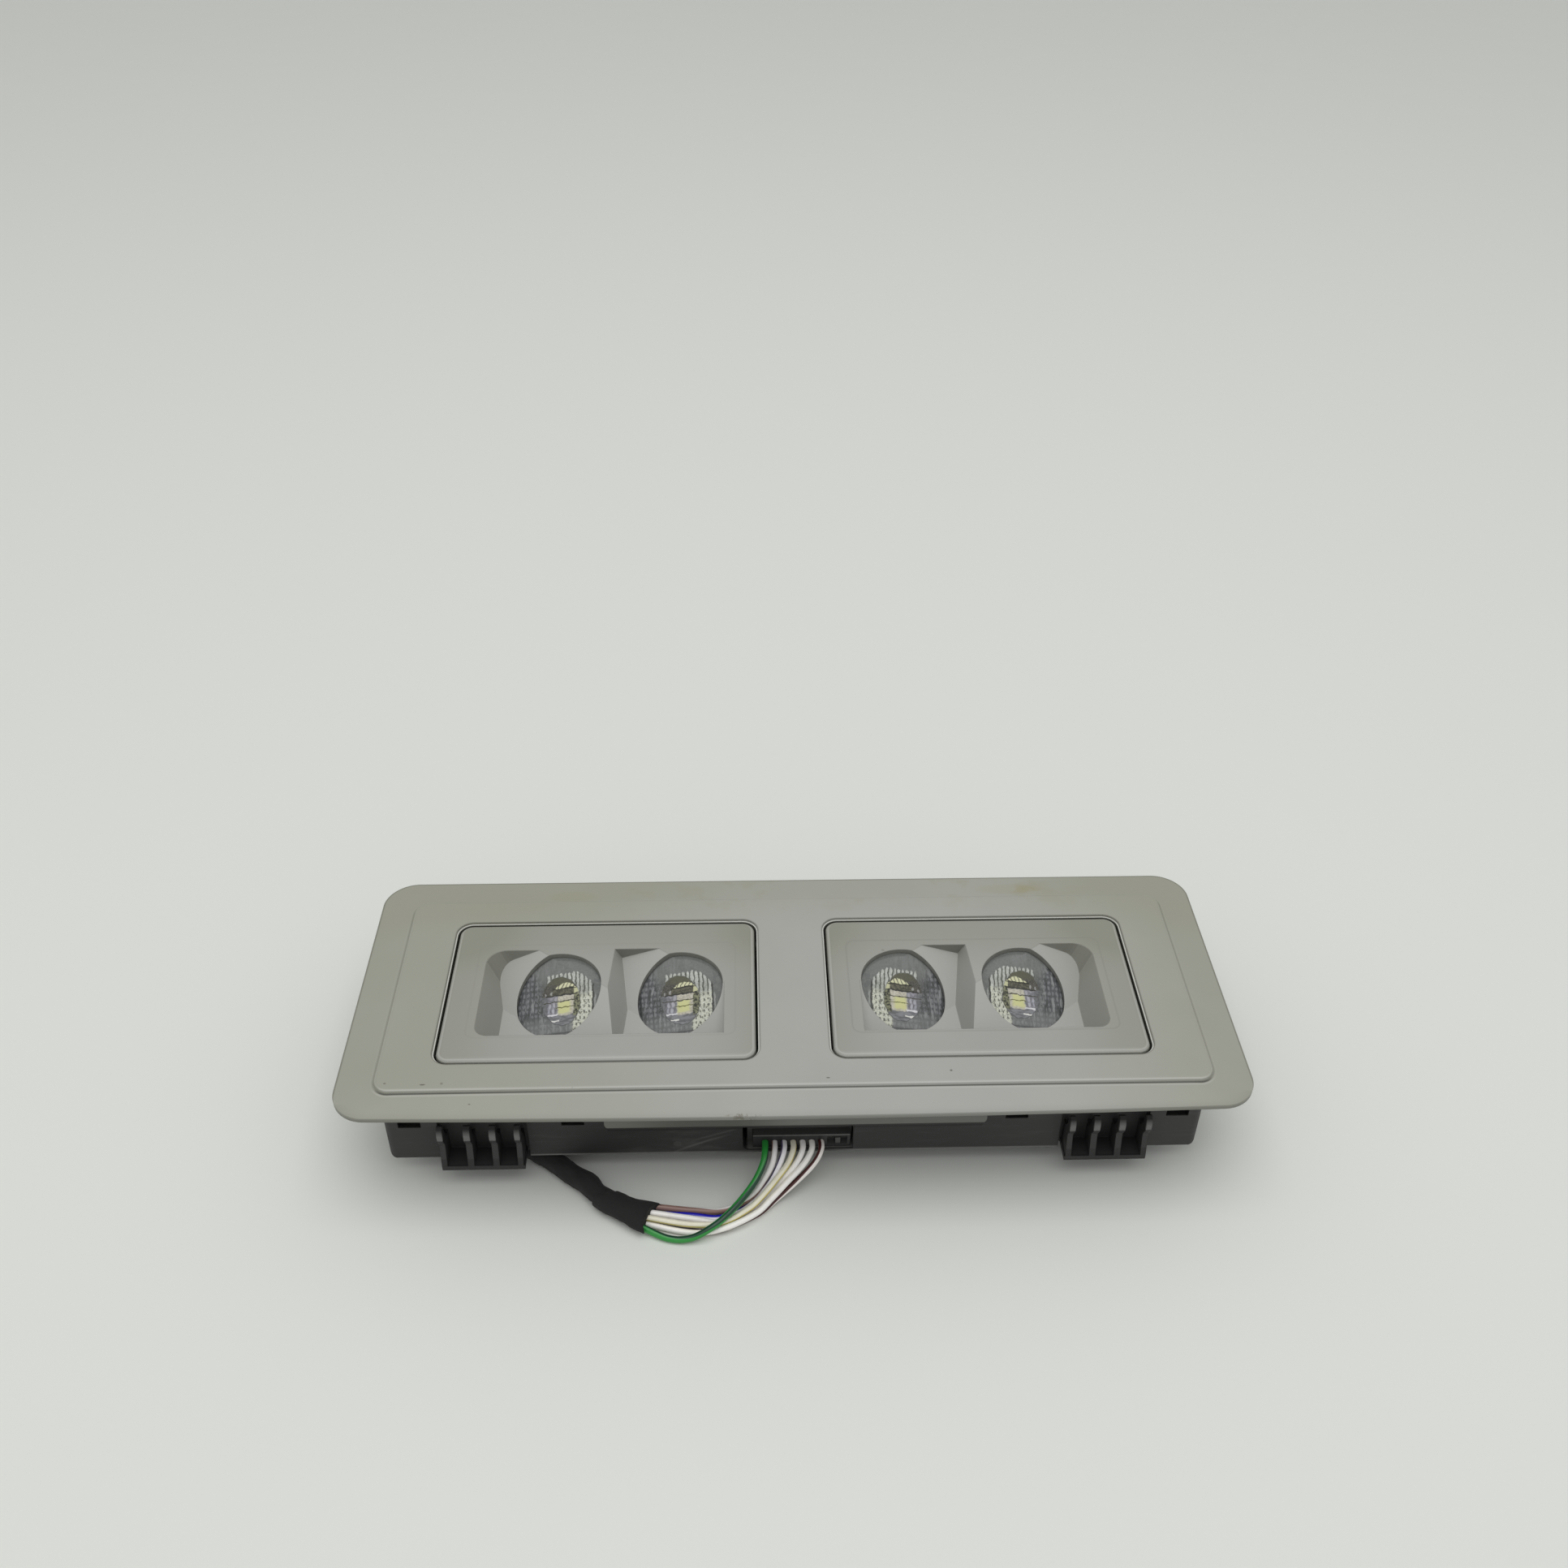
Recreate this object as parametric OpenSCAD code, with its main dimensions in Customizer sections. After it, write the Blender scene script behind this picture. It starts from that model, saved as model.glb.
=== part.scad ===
// Car interior light: two pressable lens panels in one bezel, for a headlining.
// The light lies on the flat back of its cover, face up; X is across, Y to the rear, Z up.

/* [Bezel] */
// width of the bezel over its flange
bezel_w = 240; // [200:1:280]
// depth of the bezel from its rear edge to the middle of its bowed front edge
bezel_d = 92; // [82:1:104]
// corner radius of the flange
flange_r = 9.5; // [6:0.5:14]
// how far the front edge bows out between its corners
front_bow = 1.2; // [0.5:0.1:2.5]
// height of the face above the back of the cover
face_h = 36; // [34:0.5:40]
// thickness of the bezel's plate
plate_t = 2.2; // [1.6:0.1:3]
// width of the sloping band beside the raised middle
band_w = 10.2; // [7:0.1:13]
// depth of the front apron below the flange
apron_h = 10.9; // [6:0.1:12]

/* [Lens panels] */
// width of a panel's opening in the bezel
opening_w = 86.7; // [82:0.1:92]
// depth of a panel's opening in the bezel
opening_d = 54.8; // [48:0.1:58]
// distance from the middle of the light to an opening
opening_x = 9.3; // [8.9:0.1:14]
// width of the small ledge inside an opening's edge
ledge_w = 0.4; // [0.3:0.05:0.6]
// gap all round a panel
panel_gap = 0.5; // [0.45:0.05:1]
// corner radius of an opening
opening_r = 4.6; // [3:0.1:7]
// steepness of the pocket ramps, drop over run
ramp_slope = 0.53; // [0.4:0.01:0.56]
// depth of a pocket's level floor below the face
pocket_depth = 9.2; // [7.5:0.1:9.8]
// diameter of a lens window
window_d = 24; // [20:0.1:24.8]
// diameter of a hinge pin
pin_d = 3; // [2.4:0.1:3.6]
// radial clearance of a hinge pin in its lug
pin_clear = 0.05; // [0.02:0.01:0.1]

/* [Optics] */
// thickness of a lens disc
lens_t = 2.6; // [2:0.1:3]
// thickness of the panel's ledge over a lens
ledge_t = 1.4; // [1:0.1:1.8]
// diameter of the round collimator where it meets the lens disc
collimator_d = 10.6; // [8:0.1:13]
// height of a diode above the board
led_h = 1; // [0.6:0.1:1.4]

/* [Housing] */
// width of the housing
housing_w = 217.8; // [206:0.2:222]
// depth of the housing
housing_d = 72.8; // [70:0.2:75]
// thickness of the housing's walls and floor
wall_t = 2; // [1.6:0.1:2.4]
// depth of the back cover below the housing's floor
cover_h = 8; // [7.6:0.1:10]
// height of the board's top above the housing's floor
board_lift = 5.6; // [5.2:0.1:6.4]
// thickness of the circuit board
board_t = 1.6; // [1.2:0.1:1.8]

/* [Clips and plug] */
// width of a clip's row of ribs
clip_w = 22.2; // [20:0.2:26]
// how far a clip's ribs stand out from the wall
clip_out = 4.5; // [3:0.1:5]
// distance between two wires of the plug
wire_pitch = 2.5; // [2.2:0.1:2.6]
// diameter of a wire, but for the thicker green one
wire_d = 1.5; // [1.1:0.05:1.5]
// diameter of the taped bundle
tape_d = 7; // [6:0.1:7.4]

/* [Hidden] */
$fn = 64;
eps = 0.02;

// heights
top_z = face_h;
plate_z = top_z - plate_t;
flange_z = top_z - 3.8;
edge_z = top_z - 2.5;
band_z = top_z - 0.8;
seat_relief = 0.4;
wall_top = flange_z + seat_relief;
floor_z = cover_h;
board_z = floor_z + wall_t + board_lift;
board_under = board_z - board_t;

// bezel outline
back_y = bezel_d / 2;
front_y = -bezel_d / 2 + front_bow;
bow_run = bezel_w / 2 - flange_r;
bow_r = (bow_run * bow_run + front_bow * front_bow) / (2 * front_bow);

// raised middle
raised_w = bezel_w - 2 * band_w;
raised_front = -bezel_d / 2 + 8.1;
raised_back = bezel_d / 2 - 10.7;
raised_d = raised_back - raised_front;

// openings and panels, given for the right side
open_cx = opening_x + opening_w / 2;
open_front = -28.9;
open_cy = open_front + opening_d / 2;
ledge_z = top_z - 0.6;
rim_t = 1.6;
rim_z = top_z - 8.5;
panel_in = ledge_w + panel_gap;
panel_w = opening_w - 2 * panel_in;
panel_d = opening_d - 2 * panel_in;
panel_r = opening_r - panel_in;
skirt_t = 1.8;
skirt_z = top_z - 7.5;
hinge_y = open_front + opening_d - 3.9;
hinge_z = top_z - 7;
pin_out = panel_in + 2.6;
lug_out = 3.8;

// pockets, given for the left panel, measured from the panel's middle
ramp_dir = -37.15;
ramp_tilt = atan(ramp_slope);
pocket_back = 15.6;
pocket_front = -17.4;
pocket_left = 10 - opening_w / 2;
pocket_right = opening_w / 2 - 9.6;
lens_x = [-12.45, pocket_right - 12.4];
lens_y = 1.9;
hinge_pt = [[lens_x[0] + 4.3, 7.8], [lens_x[1] + 4.7, 7.6]];
inner_left = lens_x[1] - 18.8;
pocket_wall = 2;
side_draft = 0.54;
back_draft = 0.3;
seat_d = window_d + 2.4;
lens_d = window_d + 2;
collar_d = window_d + 5.4;
collar_drop = 4.4;
post_y = 5.4;
post_gap = 0.3;

// switch
switch_w = 6;
switch_h = 4;
plunger_d = 3.4;
plunger_up = 1.6;
plunger_clear = 0.05;
post_z = board_z + switch_h + plunger_up + post_gap;

// housing
house_x = housing_w / 2;
house_y = housing_d / 2;
tab_x = [59, 102];
tab_w = 5.4;
notch_w = 6;
notch_z = top_z - 16;
notch_top = top_z - 6;

// board and back cover
board_x = 70;
board_front = -30;
board_back = 28;
screw_x = 66;
screw_y = [-26, 24];
screw_d = 2.1;
boss_d = 5;
cover_x = 52;
cover_front = -27;
cover_back = 29;
cover_flange = 1.8;
tray_x = 44;
tray_front = -19;
tray_back = 21;
cover_screw_x = 48;
cover_screw_y = [-23, 25];

// clips
clip_x = 82.95;
clip_plate = 1.4;
clip_side = 1.4;
rib_x = [-10.45, -3.4, 3.3, 9.75];
rib_w = [1.5, 1.7, 1.7, 1.5];

// plug and header
plug_left = -11.4;
plug_right = 14.8;
plug_face = -35.6;
header_face = -33.2;
header_back = -22;
plug_back = -26;
sill_t = 0.8;
slot_left = -14.1;
slot_right = 15.6;
wire_z = floor_z + 2.9;
green_extra = 0.25;
wire_x0 = -8.1;
wire_start = plug_face + 1;
pin_s = 0.6;

module rounded(w, d, r) {
    hw = w / 2 - r;
    hd = d / 2 - r;
    union() {
        square([w, d - 2 * r], center = true);
        square([w - 2 * r, d], center = true);
        for (x = [-hw, hw])
            for (y = [-hd, hd])
                translate([x, y])
                    circle(r);
    }
}

// corners of a rounded rectangle drawn in by g, at height z
corner_steps = 12;
function drawn_ring(w, d, r, z, g) = [
    for (c = [[1, 1, 0], [-1, 1, 90], [-1, -1, 180], [1, -1, 270]])
        for (k = [0:corner_steps])
            let (a = c[2] + 90 * k / corner_steps)
                [c[0] * (w / 2 - r) + (r - g) * cos(a), c[1] * (d / 2 - r) + (r - g) * sin(a), z]
];

// a rounded block whose edge draws in with height: each step is a height and an inset
module drawn_block(w, d, r, steps) {
    n = 4 * (corner_steps + 1);
    m = len(steps);
    verts = [for (s = steps) each drawn_ring(w, d, r, s[0], s[1])];
    sides = [
        for (i = [0:m - 2])
            for (k = [0:n - 1])
                let (k2 = (k + 1) % n)
                    [i * n + k, (i + 1) * n + k, (i + 1) * n + k2, i * n + k2]
    ];
    first = [for (k = [0:n - 1]) k];
    last = [for (k = [n - 1:-1:0]) (m - 1) * n + k];
    polyhedron(verts, concat([first], sides, [last]), convexity = 4);
}

module flange_outline() {
    translate([0, (back_y + front_y) / 2])
        rounded(bezel_w, back_y - front_y, flange_r);
    intersection() {
        translate([0, -bezel_d / 2 + bow_r])
            circle(bow_r, $fn = 1440);
        translate([-bow_run, -bezel_d])
            square([2 * bow_run, bezel_d + front_y + 1]);
    }
}

// the sloping band: the outline draws in to the foot of the raised middle
module band() {
    sx = raised_w / bezel_w;
    sy = raised_d / bezel_d;
    yc = (raised_back - sy * back_y) / (1 - sy);
    translate([0, yc, edge_z])
        linear_extrude(band_z - edge_z, scale = [sx, sy], slices = 1)
            translate([0, -yc])
                flange_outline($fn = 72);
}

module raised() {
    translate([0, (raised_front + raised_back) / 2, 0])
        drawn_block(raised_w, raised_d, 4.5, [[band_z - 0.6, 0], [top_z - 0.3, 0.35], [top_z, 1]]);
}

module opening_cut() {
    translate([open_cx, open_cy, rim_z - 12])
        linear_extrude(30)
            rounded(opening_w - 2 * ledge_w, opening_d - 2 * ledge_w, opening_r - ledge_w);
    translate([open_cx, open_cy, ledge_z])
        linear_extrude(10)
            rounded(opening_w, opening_d, opening_r);
}

module rim() {
    translate([open_cx, open_cy, rim_z])
        linear_extrude(plate_z - rim_z + 0.5)
            rounded(opening_w + 2 * rim_t, opening_d + 2 * rim_t, opening_r + rim_t);
}

// lugs for the two hinge pins of a panel
module lugs() {
    for (x = [opening_x - lug_out, opening_x + opening_w])
        translate([x, hinge_y - 4, hinge_z - 3.6])
            cube([lug_out, 8, plate_z - hinge_z + 4.1]);
}

module lug_bores() {
    translate([opening_x - lug_out - 1, hinge_y, hinge_z])
        rotate([0, 90, 0])
            cylinder(d = pin_d + 2 * pin_clear, h = opening_w + 2 * lug_out + 2);
}

// snap tab: a leg inside the housing wall with a hook in the wall's notch
module snap_tab() {
    translate([-tab_w / 2, -house_y + wall_t, notch_top - 5])
        cube([tab_w, 1.6, plate_z - notch_top + 5.5]);
    translate([-tab_w / 2, -house_y + 0.6, notch_top - 3.4])
        cube([tab_w, wall_t, 3.3]);
}

module apron() {
    translate([0, -house_y - 1.2, 0])
        rotate([90, 0, 0])
            linear_extrude(1.6)
                translate([0, flange_z - apron_h / 2 + 1])
                    rounded(100.8, apron_h + 2, 2);
}

module bezel() {
    color([0.59, 0.6, 0.565])
    difference() {
        union() {
            // flange, its underside set back inside the ring that seats on the headlining
            difference() {
                translate([0, 0, flange_z])
                    linear_extrude(edge_z - flange_z)
                        flange_outline();
                translate([-house_x - 0.8, -house_y - 3.4, flange_z - 1])
                    cube([housing_w + 1.6, housing_d + 4.2, seat_relief + 1]);
            }
            band();
            raised();
            mirror([1, 0, 0]) rim();
            rim();
            mirror([1, 0, 0]) lugs();
            lugs();
            intersection() {
                apron();
                translate([-60, -60, 0])
                    cube([120, 60, wall_top + 0.4]);
            }
            for (s = [-1, 1])
                for (x = tab_x)
                    translate([s * x, 0, 0]) {
                        snap_tab();
                        mirror([0, 1, 0]) snap_tab();
                    }
        }
        // hollow behind the plate, left solid round the rims, lugs and tabs
        difference() {
            translate([-house_x + wall_t, -house_y + wall_t, flange_z])
                cube([housing_w - 2 * wall_t, housing_d - 2 * wall_t, plate_z - flange_z]);
            mirror([1, 0, 0]) rim();
            rim();
            mirror([1, 0, 0]) lugs();
            lugs();
            for (s = [-1, 1])
                for (x = tab_x)
                    translate([s * x, 0, 0]) {
                        snap_tab();
                        mirror([0, 1, 0]) snap_tab();
                    }
        }
        mirror([1, 0, 0]) opening_cut();
        opening_cut();
        mirror([1, 0, 0]) lug_bores();
        lug_bores();
    }
}

// everything above ramp i, the ramp lowered by k across its thickness
module above_ramp(i, k) {
    translate([hinge_pt[i][0], hinge_pt[i][1], top_z])
        rotate([0, 0, ramp_dir])
            rotate([ramp_tilt, 0, 0])
                translate([-90, -90, -k])
                    cube([180, 180, 60]);
}

// everything below the lens side of the panel, k under its face and ramp i
module below_face(i, k) {
    intersection() {
        translate([-80, -80, top_z - k - 60])
            cube([160, 160, 60]);
        translate([hinge_pt[i][0], hinge_pt[i][1], top_z])
            rotate([0, 0, ramp_dir])
                rotate([ramp_tilt, 0, 0])
                    translate([-90, -90, -k - 90])
                        cube([180, 180, 90]);
    }
}

// outer pocket outline at depth d, grown by g
module outer_slice(d, g) {
    l = pocket_left + side_draft * d - g;
    b = pocket_back - back_draft * d + g;
    f = pocket_front - g;
    r0 = 5.4;
    r1 = 3.6;
    translate([0, 0, top_z - d])
        linear_extrude(eps)
            hull() {
                translate([l + r0, b - r0]) circle(r0, $fn = 32);
                translate([l + r1, f + r1]) circle(r1, $fn = 32);
                translate([12, f]) square([1, b - f]);
            }
}

module outer_pocket(g) {
    intersection() {
        hull() {
            outer_slice(-2, g);
            outer_slice(pocket_depth + g, g);
        }
        above_ramp(0, g);
        translate([-60, -60, 0])
            cube([120, 120, top_z + (g > 0 ? 0 : 1.5)]);
    }
}

// inner pocket with sharp corners; its left wall leans and turns a little
module inner_pocket(g) {
    intersection() {
        translate([-10, pocket_front - g, top_z - pocket_depth - g])
            cube([pocket_right + 10 + g, pocket_back - pocket_front + 2 * g, pocket_depth + g + (g > 0 ? 0 : 1.5)]);
        translate([inner_left - g, pocket_back, top_z])
            rotate([0, 0, -4])
                rotate([0, -atan(side_draft), 0])
                    translate([0, -60, -40])
                        cube([80, 90, 60]);
        translate([0, pocket_back + g, top_z])
            rotate([atan(back_draft), 0, 0])
                translate([-60, -90, -40])
                    cube([140, 90, 60]);
        above_ramp(1, g);
    }
}

// the left panel about its own middle
module panel_shape() {
    difference() {
        union() {
            // plate with its rolled edge
            translate([0, 0, plate_z])
                linear_extrude(top_z - 1.3 - plate_z)
                    rounded(panel_w, panel_d, panel_r);
            drawn_block(
                panel_w, panel_d, panel_r,
                [[top_z - 1.5, 0.05], [top_z - 0.7, 0.25], [top_z - 0.25, 0.75], [top_z, 1.6]]
            );
            difference() {
                translate([0, 0, skirt_z])
                    linear_extrude(plate_z - skirt_z + 0.5)
                        rounded(panel_w, panel_d, panel_r);
                translate([0, 0, skirt_z - 1])
                    linear_extrude(plate_z - skirt_z + 1)
                        rounded(panel_w - 2 * skirt_t, panel_d - 2 * skirt_t, panel_r - skirt_t);
            }
            outer_pocket(pocket_wall);
            inner_pocket(pocket_wall);
            for (i = [0, 1])
                difference() {
                    translate([lens_x[i], lens_y, top_z - 22])
                        cylinder(d = collar_d, h = 22);
                    below_face(i, collar_drop);
                }
            // hinge ears and pins
            intersection() {
                for (s = [-1, 1])
                    translate([s * (panel_w / 2 - skirt_t / 2) - skirt_t / 2, hinge_y - open_cy - 3.6, hinge_z - 3])
                        cube([skirt_t, 6.2, 8]);
                translate([0, 0, skirt_z - 6])
                    linear_extrude(20)
                        rounded(panel_w, panel_d, panel_r);
            }
            translate([-panel_w / 2 - pin_out, hinge_y - open_cy, hinge_z])
                rotate([0, 90, 0])
                    cylinder(d = pin_d, h = pin_out + 0.5);
            translate([panel_w / 2 - 0.5, hinge_y - open_cy, hinge_z])
                rotate([0, 90, 0])
                    cylinder(d = pin_d, h = pin_out + 0.5);
            // post that presses the switch, with two webs
            translate([-2, -open_cy + open_front + post_y - 1.5, post_z])
                cube([4, 3, plate_z - post_z + 0.5]);
            translate([-7, -open_cy + open_front + post_y - 0.7, top_z - 8])
                cube([14, 1.4, 7]);
            // hooks that stop the panel's free edge under the rim
            for (x = [-25, 25])
                translate([x - 3, -panel_d / 2 - 1.6, rim_z - 1.9]) {
                    cube([6, 1.7 + skirt_t, 1.5]);
                    translate([0, 1.6, 0])
                        cube([6, skirt_t, 5]);
                }
        }
        outer_pocket(0);
        inner_pocket(0);
        for (i = [0, 1]) {
            translate([lens_x[i], lens_y, top_z - 24])
                cylinder(d = window_d, h = 26);
            intersection() {
                translate([lens_x[i], lens_y, top_z - 24])
                    cylinder(d = seat_d, h = 24);
                below_face(i, ledge_t);
            }
        }
    }
}

module lens_shape(i) {
    difference() {
        union() {
            intersection() {
                translate([lens_x[i], lens_y, top_z - 24])
                    cylinder(d = lens_d, h = 24);
                difference() {
                    below_face(i, ledge_t);
                    below_face(i, ledge_t + lens_t);
                }
            }
            intersection() {
                translate([lens_x[i], lens_y, board_z + 3])
                    cylinder(d1 = 5.4, d2 = collimator_d + 2.2, h = top_z - board_z - 8.4);
                below_face(i, ledge_t + 0.3);
            }
        }
        translate([lens_x[i], lens_y, board_z + 2])
            cylinder(d = 3.6, h = 3.2);
    }
}

module at_left() {
    translate([-open_cx, open_cy, 0]) children();
}

module at_right() {
    mirror([1, 0, 0]) at_left() children();
}

module lens_panel_left() {
    color([0.58, 0.59, 0.57])
        at_left() panel_shape();
}

module lens_panel_right() {
    color([0.58, 0.59, 0.57])
        at_right() panel_shape();
}

module lens_1() {
    color([0.85, 0.88, 0.88, 0.6])
        at_left() lens_shape(0);
}

module lens_2() {
    color([0.85, 0.88, 0.88, 0.6])
        at_left() lens_shape(1);
}

module lens_3() {
    color([0.85, 0.88, 0.88, 0.6])
        at_right() lens_shape(1);
}

module lens_4() {
    color([0.85, 0.88, 0.88, 0.6])
        at_right() lens_shape(0);
}

module led(x) {
    color([0.95, 0.9, 0.45])
        translate([x, open_cy + lens_y, board_z]) {
            translate([-1.75, -1.75, 0])
                cube([3.5, 3.5, led_h - 0.2]);
            cylinder(d = 2.6, h = led_h);
        }
}

module led_1() {
    led(-open_cx + lens_x[0]);
}

module led_2() {
    led(-open_cx + lens_x[1]);
}

module led_3() {
    led(open_cx - lens_x[1]);
}

module led_4() {
    led(open_cx - lens_x[0]);
}

module switch_body(x) {
    color([0.12, 0.12, 0.13])
        difference() {
            translate([x - switch_w / 2, open_front + post_y - switch_w / 2, board_z])
                cube([switch_w, switch_w, switch_h]);
            translate([x, open_front + post_y, board_z + 1])
                cylinder(d = plunger_d + 2 * plunger_clear, h = switch_h);
        }
}

module switch_plunger(x) {
    color([0.75, 0.72, 0.6])
        translate([x, open_front + post_y, board_z + 2.4])
            cylinder(d = plunger_d, h = switch_h + plunger_up - 2.4);
}

module switch_body_left() {
    switch_body(-open_cx);
}

module switch_body_right() {
    switch_body(open_cx);
}

module switch_plunger_left() {
    switch_plunger(-open_cx);
}

module switch_plunger_right() {
    switch_plunger(open_cx);
}

module circuit_board() {
    color([0.1, 0.35, 0.2])
        difference() {
            translate([-board_x, board_front, board_under])
                cube([2 * board_x, board_back - board_front, board_t]);
            for (x = [-screw_x, screw_x])
                for (y = screw_y)
                    translate([x, y, board_under - 1])
                        cylinder(d = screw_d + 0.3, h = board_t + 2);
            for (i = [0:6])
                translate([wire_x0 + i * wire_pitch, header_back + 1.3, board_under - 1])
                    cylinder(d = 1, h = board_t + 2);
        }
}

module driver_chip() {
    color([0.08, 0.08, 0.09])
        translate([-20, 0, board_under - 1.4])
            cube([9, 9, 1.4]);
}

module capacitor() {
    color([0.55, 0.56, 0.58])
        translate([18, 4, board_under - 10])
            cylinder(d = 8, h = 10);
}

module board_connector() {
    color([0.16, 0.16, 0.17])
        difference() {
            translate([plug_left - 1.5, header_face, floor_z + sill_t])
                cube([plug_right - plug_left + 2, header_back - header_face, board_under - floor_z - sill_t]);
            translate([plug_left - 0.1, header_face - 1, floor_z + 1.3])
                cube([plug_right - plug_left - 0.1, header_back - header_face - 1, 4.1]);
            for (i = [0:6])
                translate([wire_x0 + i * wire_pitch - pin_s / 2, header_back - 3, wire_z - pin_s / 2])
                    cube([pin_s, 5, pin_s]);
        }
}

module contact_pins() {
    color([0.8, 0.7, 0.35])
        for (i = [0:6])
            translate([wire_x0 + i * wire_pitch - pin_s / 2, 0, 0]) {
                translate([0, plug_back - 3.6, wire_z - pin_s / 2])
                    cube([pin_s, header_back - plug_back + 5.2, pin_s]);
                translate([0, header_back + 1, wire_z - pin_s / 2])
                    cube([pin_s, pin_s, board_z + 0.6 - wire_z + pin_s / 2]);
            }
}

// one side of a clip's slot in the housing, for a clip at the front left
module clip_slot() {
    translate([-clip_w / 2 - 0.6, -house_y - 1, floor_z - 1])
        cube([clip_w + 1.2, wall_t + 1, top_z - 9 - floor_z + 1]);
    translate([-clip_w / 2 - clip_side - 0.6, -house_y + wall_t - eps, floor_z - 1])
        cube([clip_w + 2 * clip_side + 1.2, clip_plate + 0.1, wall_t + 2]);
}

module at_clips() {
    for (s = [-1, 1])
        for (m = [0, 1])
            mirror([0, m, 0])
                translate([s * clip_x, 0, 0]) children();
}

module housing() {
    color([0.17, 0.17, 0.175])
        difference() {
            intersection() {
                translate([0, 0, floor_z])
                    linear_extrude(wall_top - floor_z)
                        rounded(housing_w, housing_d, 2);
                // lower side edges rounded
                translate([0, house_y + 1, floor_z + 20])
                    rotate([90, 0, 0])
                        linear_extrude(housing_d + 2)
                            rounded(housing_w, 40, 2);
            }
            translate([0, 0, floor_z + wall_t])
                linear_extrude(flange_z)
                    difference() {
                        rounded(housing_w - 2 * wall_t, housing_d - 2 * wall_t, 1);
                        for (x = [-screw_x, screw_x])
                            for (y = screw_y)
                                translate([x, y]) circle(d = boss_d);
                        for (x = [-cover_screw_x, cover_screw_x])
                            for (y = cover_screw_y)
                                translate([x, y]) circle(d = boss_d);
                    }
            // bosses end below the board and lower over the cover's screws
            translate([-screw_x - 4, -34, board_under])
                cube([2 * screw_x + 8, 66, top_z]);
            translate([-cover_screw_x - 4, -30, board_under - 0.6])
                cube([2 * cover_screw_x + 8, 62, top_z]);
            for (x = [-screw_x, screw_x])
                for (y = screw_y)
                    translate([x, y, floor_z + 0.6])
                        cylinder(d = screw_d + 0.1, h = 12);
            for (x = [-cover_screw_x, cover_screw_x])
                for (y = cover_screw_y)
                    translate([x, y, floor_z - 1])
                        cylinder(d = screw_d + 0.1, h = 5);
            translate([-tray_x + 2, tray_front + 2, floor_z - 1])
                cube([2 * tray_x - 4, tray_back - tray_front - 4, wall_t + 2]);
            // notches for the snap tabs
            for (s = [-1, 1])
                for (x = tab_x)
                    for (m = [0, 1])
                        mirror([0, m, 0])
                            translate([s * x - notch_w / 2, -house_y - 1, notch_z])
                                cube([notch_w, wall_t + 2, notch_top - notch_z]);
            at_clips() clip_slot();
            // recess of the plug
            translate([slot_left, -house_y - 1, floor_z + sill_t + 2])
                cube([slot_right - slot_left, wall_t + 2, 13 - sill_t]);
            translate([slot_left + 2, -house_y - 1, floor_z + sill_t])
                cube([slot_right - slot_left - 2, wall_t + 2, 4]);
            translate([slot_left + 2, -house_y - 1, floor_z + sill_t + 2])
                rotate([-90, 0, 0])
                    cylinder(r = 2, h = wall_t + 2);
            translate([slot_left + 0.5, -house_y + wall_t - 0.5, floor_z + sill_t])
                cube([slot_right - slot_left - 0.5, header_back + house_y - wall_t + 1, 4]);
        }
}

// finger of a clip in side view: its free nose stands off the wall
module rib_outline() {
    o = house_y + clip_out;
    polygon([
        [-house_y + wall_t, floor_z],
        [-o, floor_z],
        [-o, floor_z + 1.5],
        [-o + 1.3, floor_z + 7.8],
        [-o + 1.3, floor_z + 9],
        [-o, floor_z + 11.4],
        [-o, floor_z + 13.6],
        [-o + 0.6, floor_z + 15.1],
        [-o + 1.6, floor_z + 15.8],
        [-o + 2.4, floor_z + 15.2],
        [-o + 3, floor_z + 11.4],
        [-house_y, floor_z + 9],
        [-house_y + wall_t, floor_z + 9]
    ]);
}

module clip_shape() {
    color([0.15, 0.15, 0.155]) {
        translate([-clip_w / 2 - clip_side, -house_y + wall_t, floor_z])
            cube([clip_w + 2 * clip_side, clip_plate, 18]);
        for (i = [0:3])
            translate([rib_x[i] * clip_w / 22.2 - rib_w[i] / 2, 0, 0])
                rotate([90, 0, 90])
                    linear_extrude(rib_w[i])
                        rib_outline();
        translate([-clip_w / 2 + 0.3, -house_y - clip_out, floor_z])
            cube([clip_w - 0.6, clip_out + wall_t, 1.5]);
    }
}

module clip_front_left() {
    translate([-clip_x, 0, 0]) clip_shape();
}

module clip_front_right() {
    translate([clip_x, 0, 0]) mirror([1, 0, 0]) clip_shape();
}

module clip_rear_left() {
    translate([-clip_x, 0, 0]) mirror([0, 1, 0]) clip_shape();
}

module clip_rear_right() {
    translate([clip_x, 0, 0]) mirror([1, 0, 0]) mirror([0, 1, 0]) clip_shape();
}

module back_cover() {
    color([0.13, 0.13, 0.135])
        difference() {
            union() {
                translate([0, (cover_front + cover_back) / 2, floor_z - cover_flange])
                    linear_extrude(cover_flange)
                        rounded(2 * cover_x, cover_back - cover_front, 3);
                translate([0, (tray_front + tray_back) / 2, 0])
                    linear_extrude(floor_z - 0.5)
                        rounded(2 * tray_x, tray_back - tray_front, 4);
            }
            translate([0, (tray_front + tray_back) / 2, 1.8])
                linear_extrude(floor_z)
                    rounded(2 * tray_x - 3.6, tray_back - tray_front - 3.6, 2.2);
            for (x = [-cover_screw_x, cover_screw_x])
                for (y = cover_screw_y)
                    translate([x, y, floor_z - 4])
                        cylinder(d = screw_d + 0.3, h = 6);
            // vents
            for (i = [-3:3])
                translate([i * 8 - 0.8, tray_front + 12, -1])
                    cube([1.6, 16, 4]);
        }
}

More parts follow.
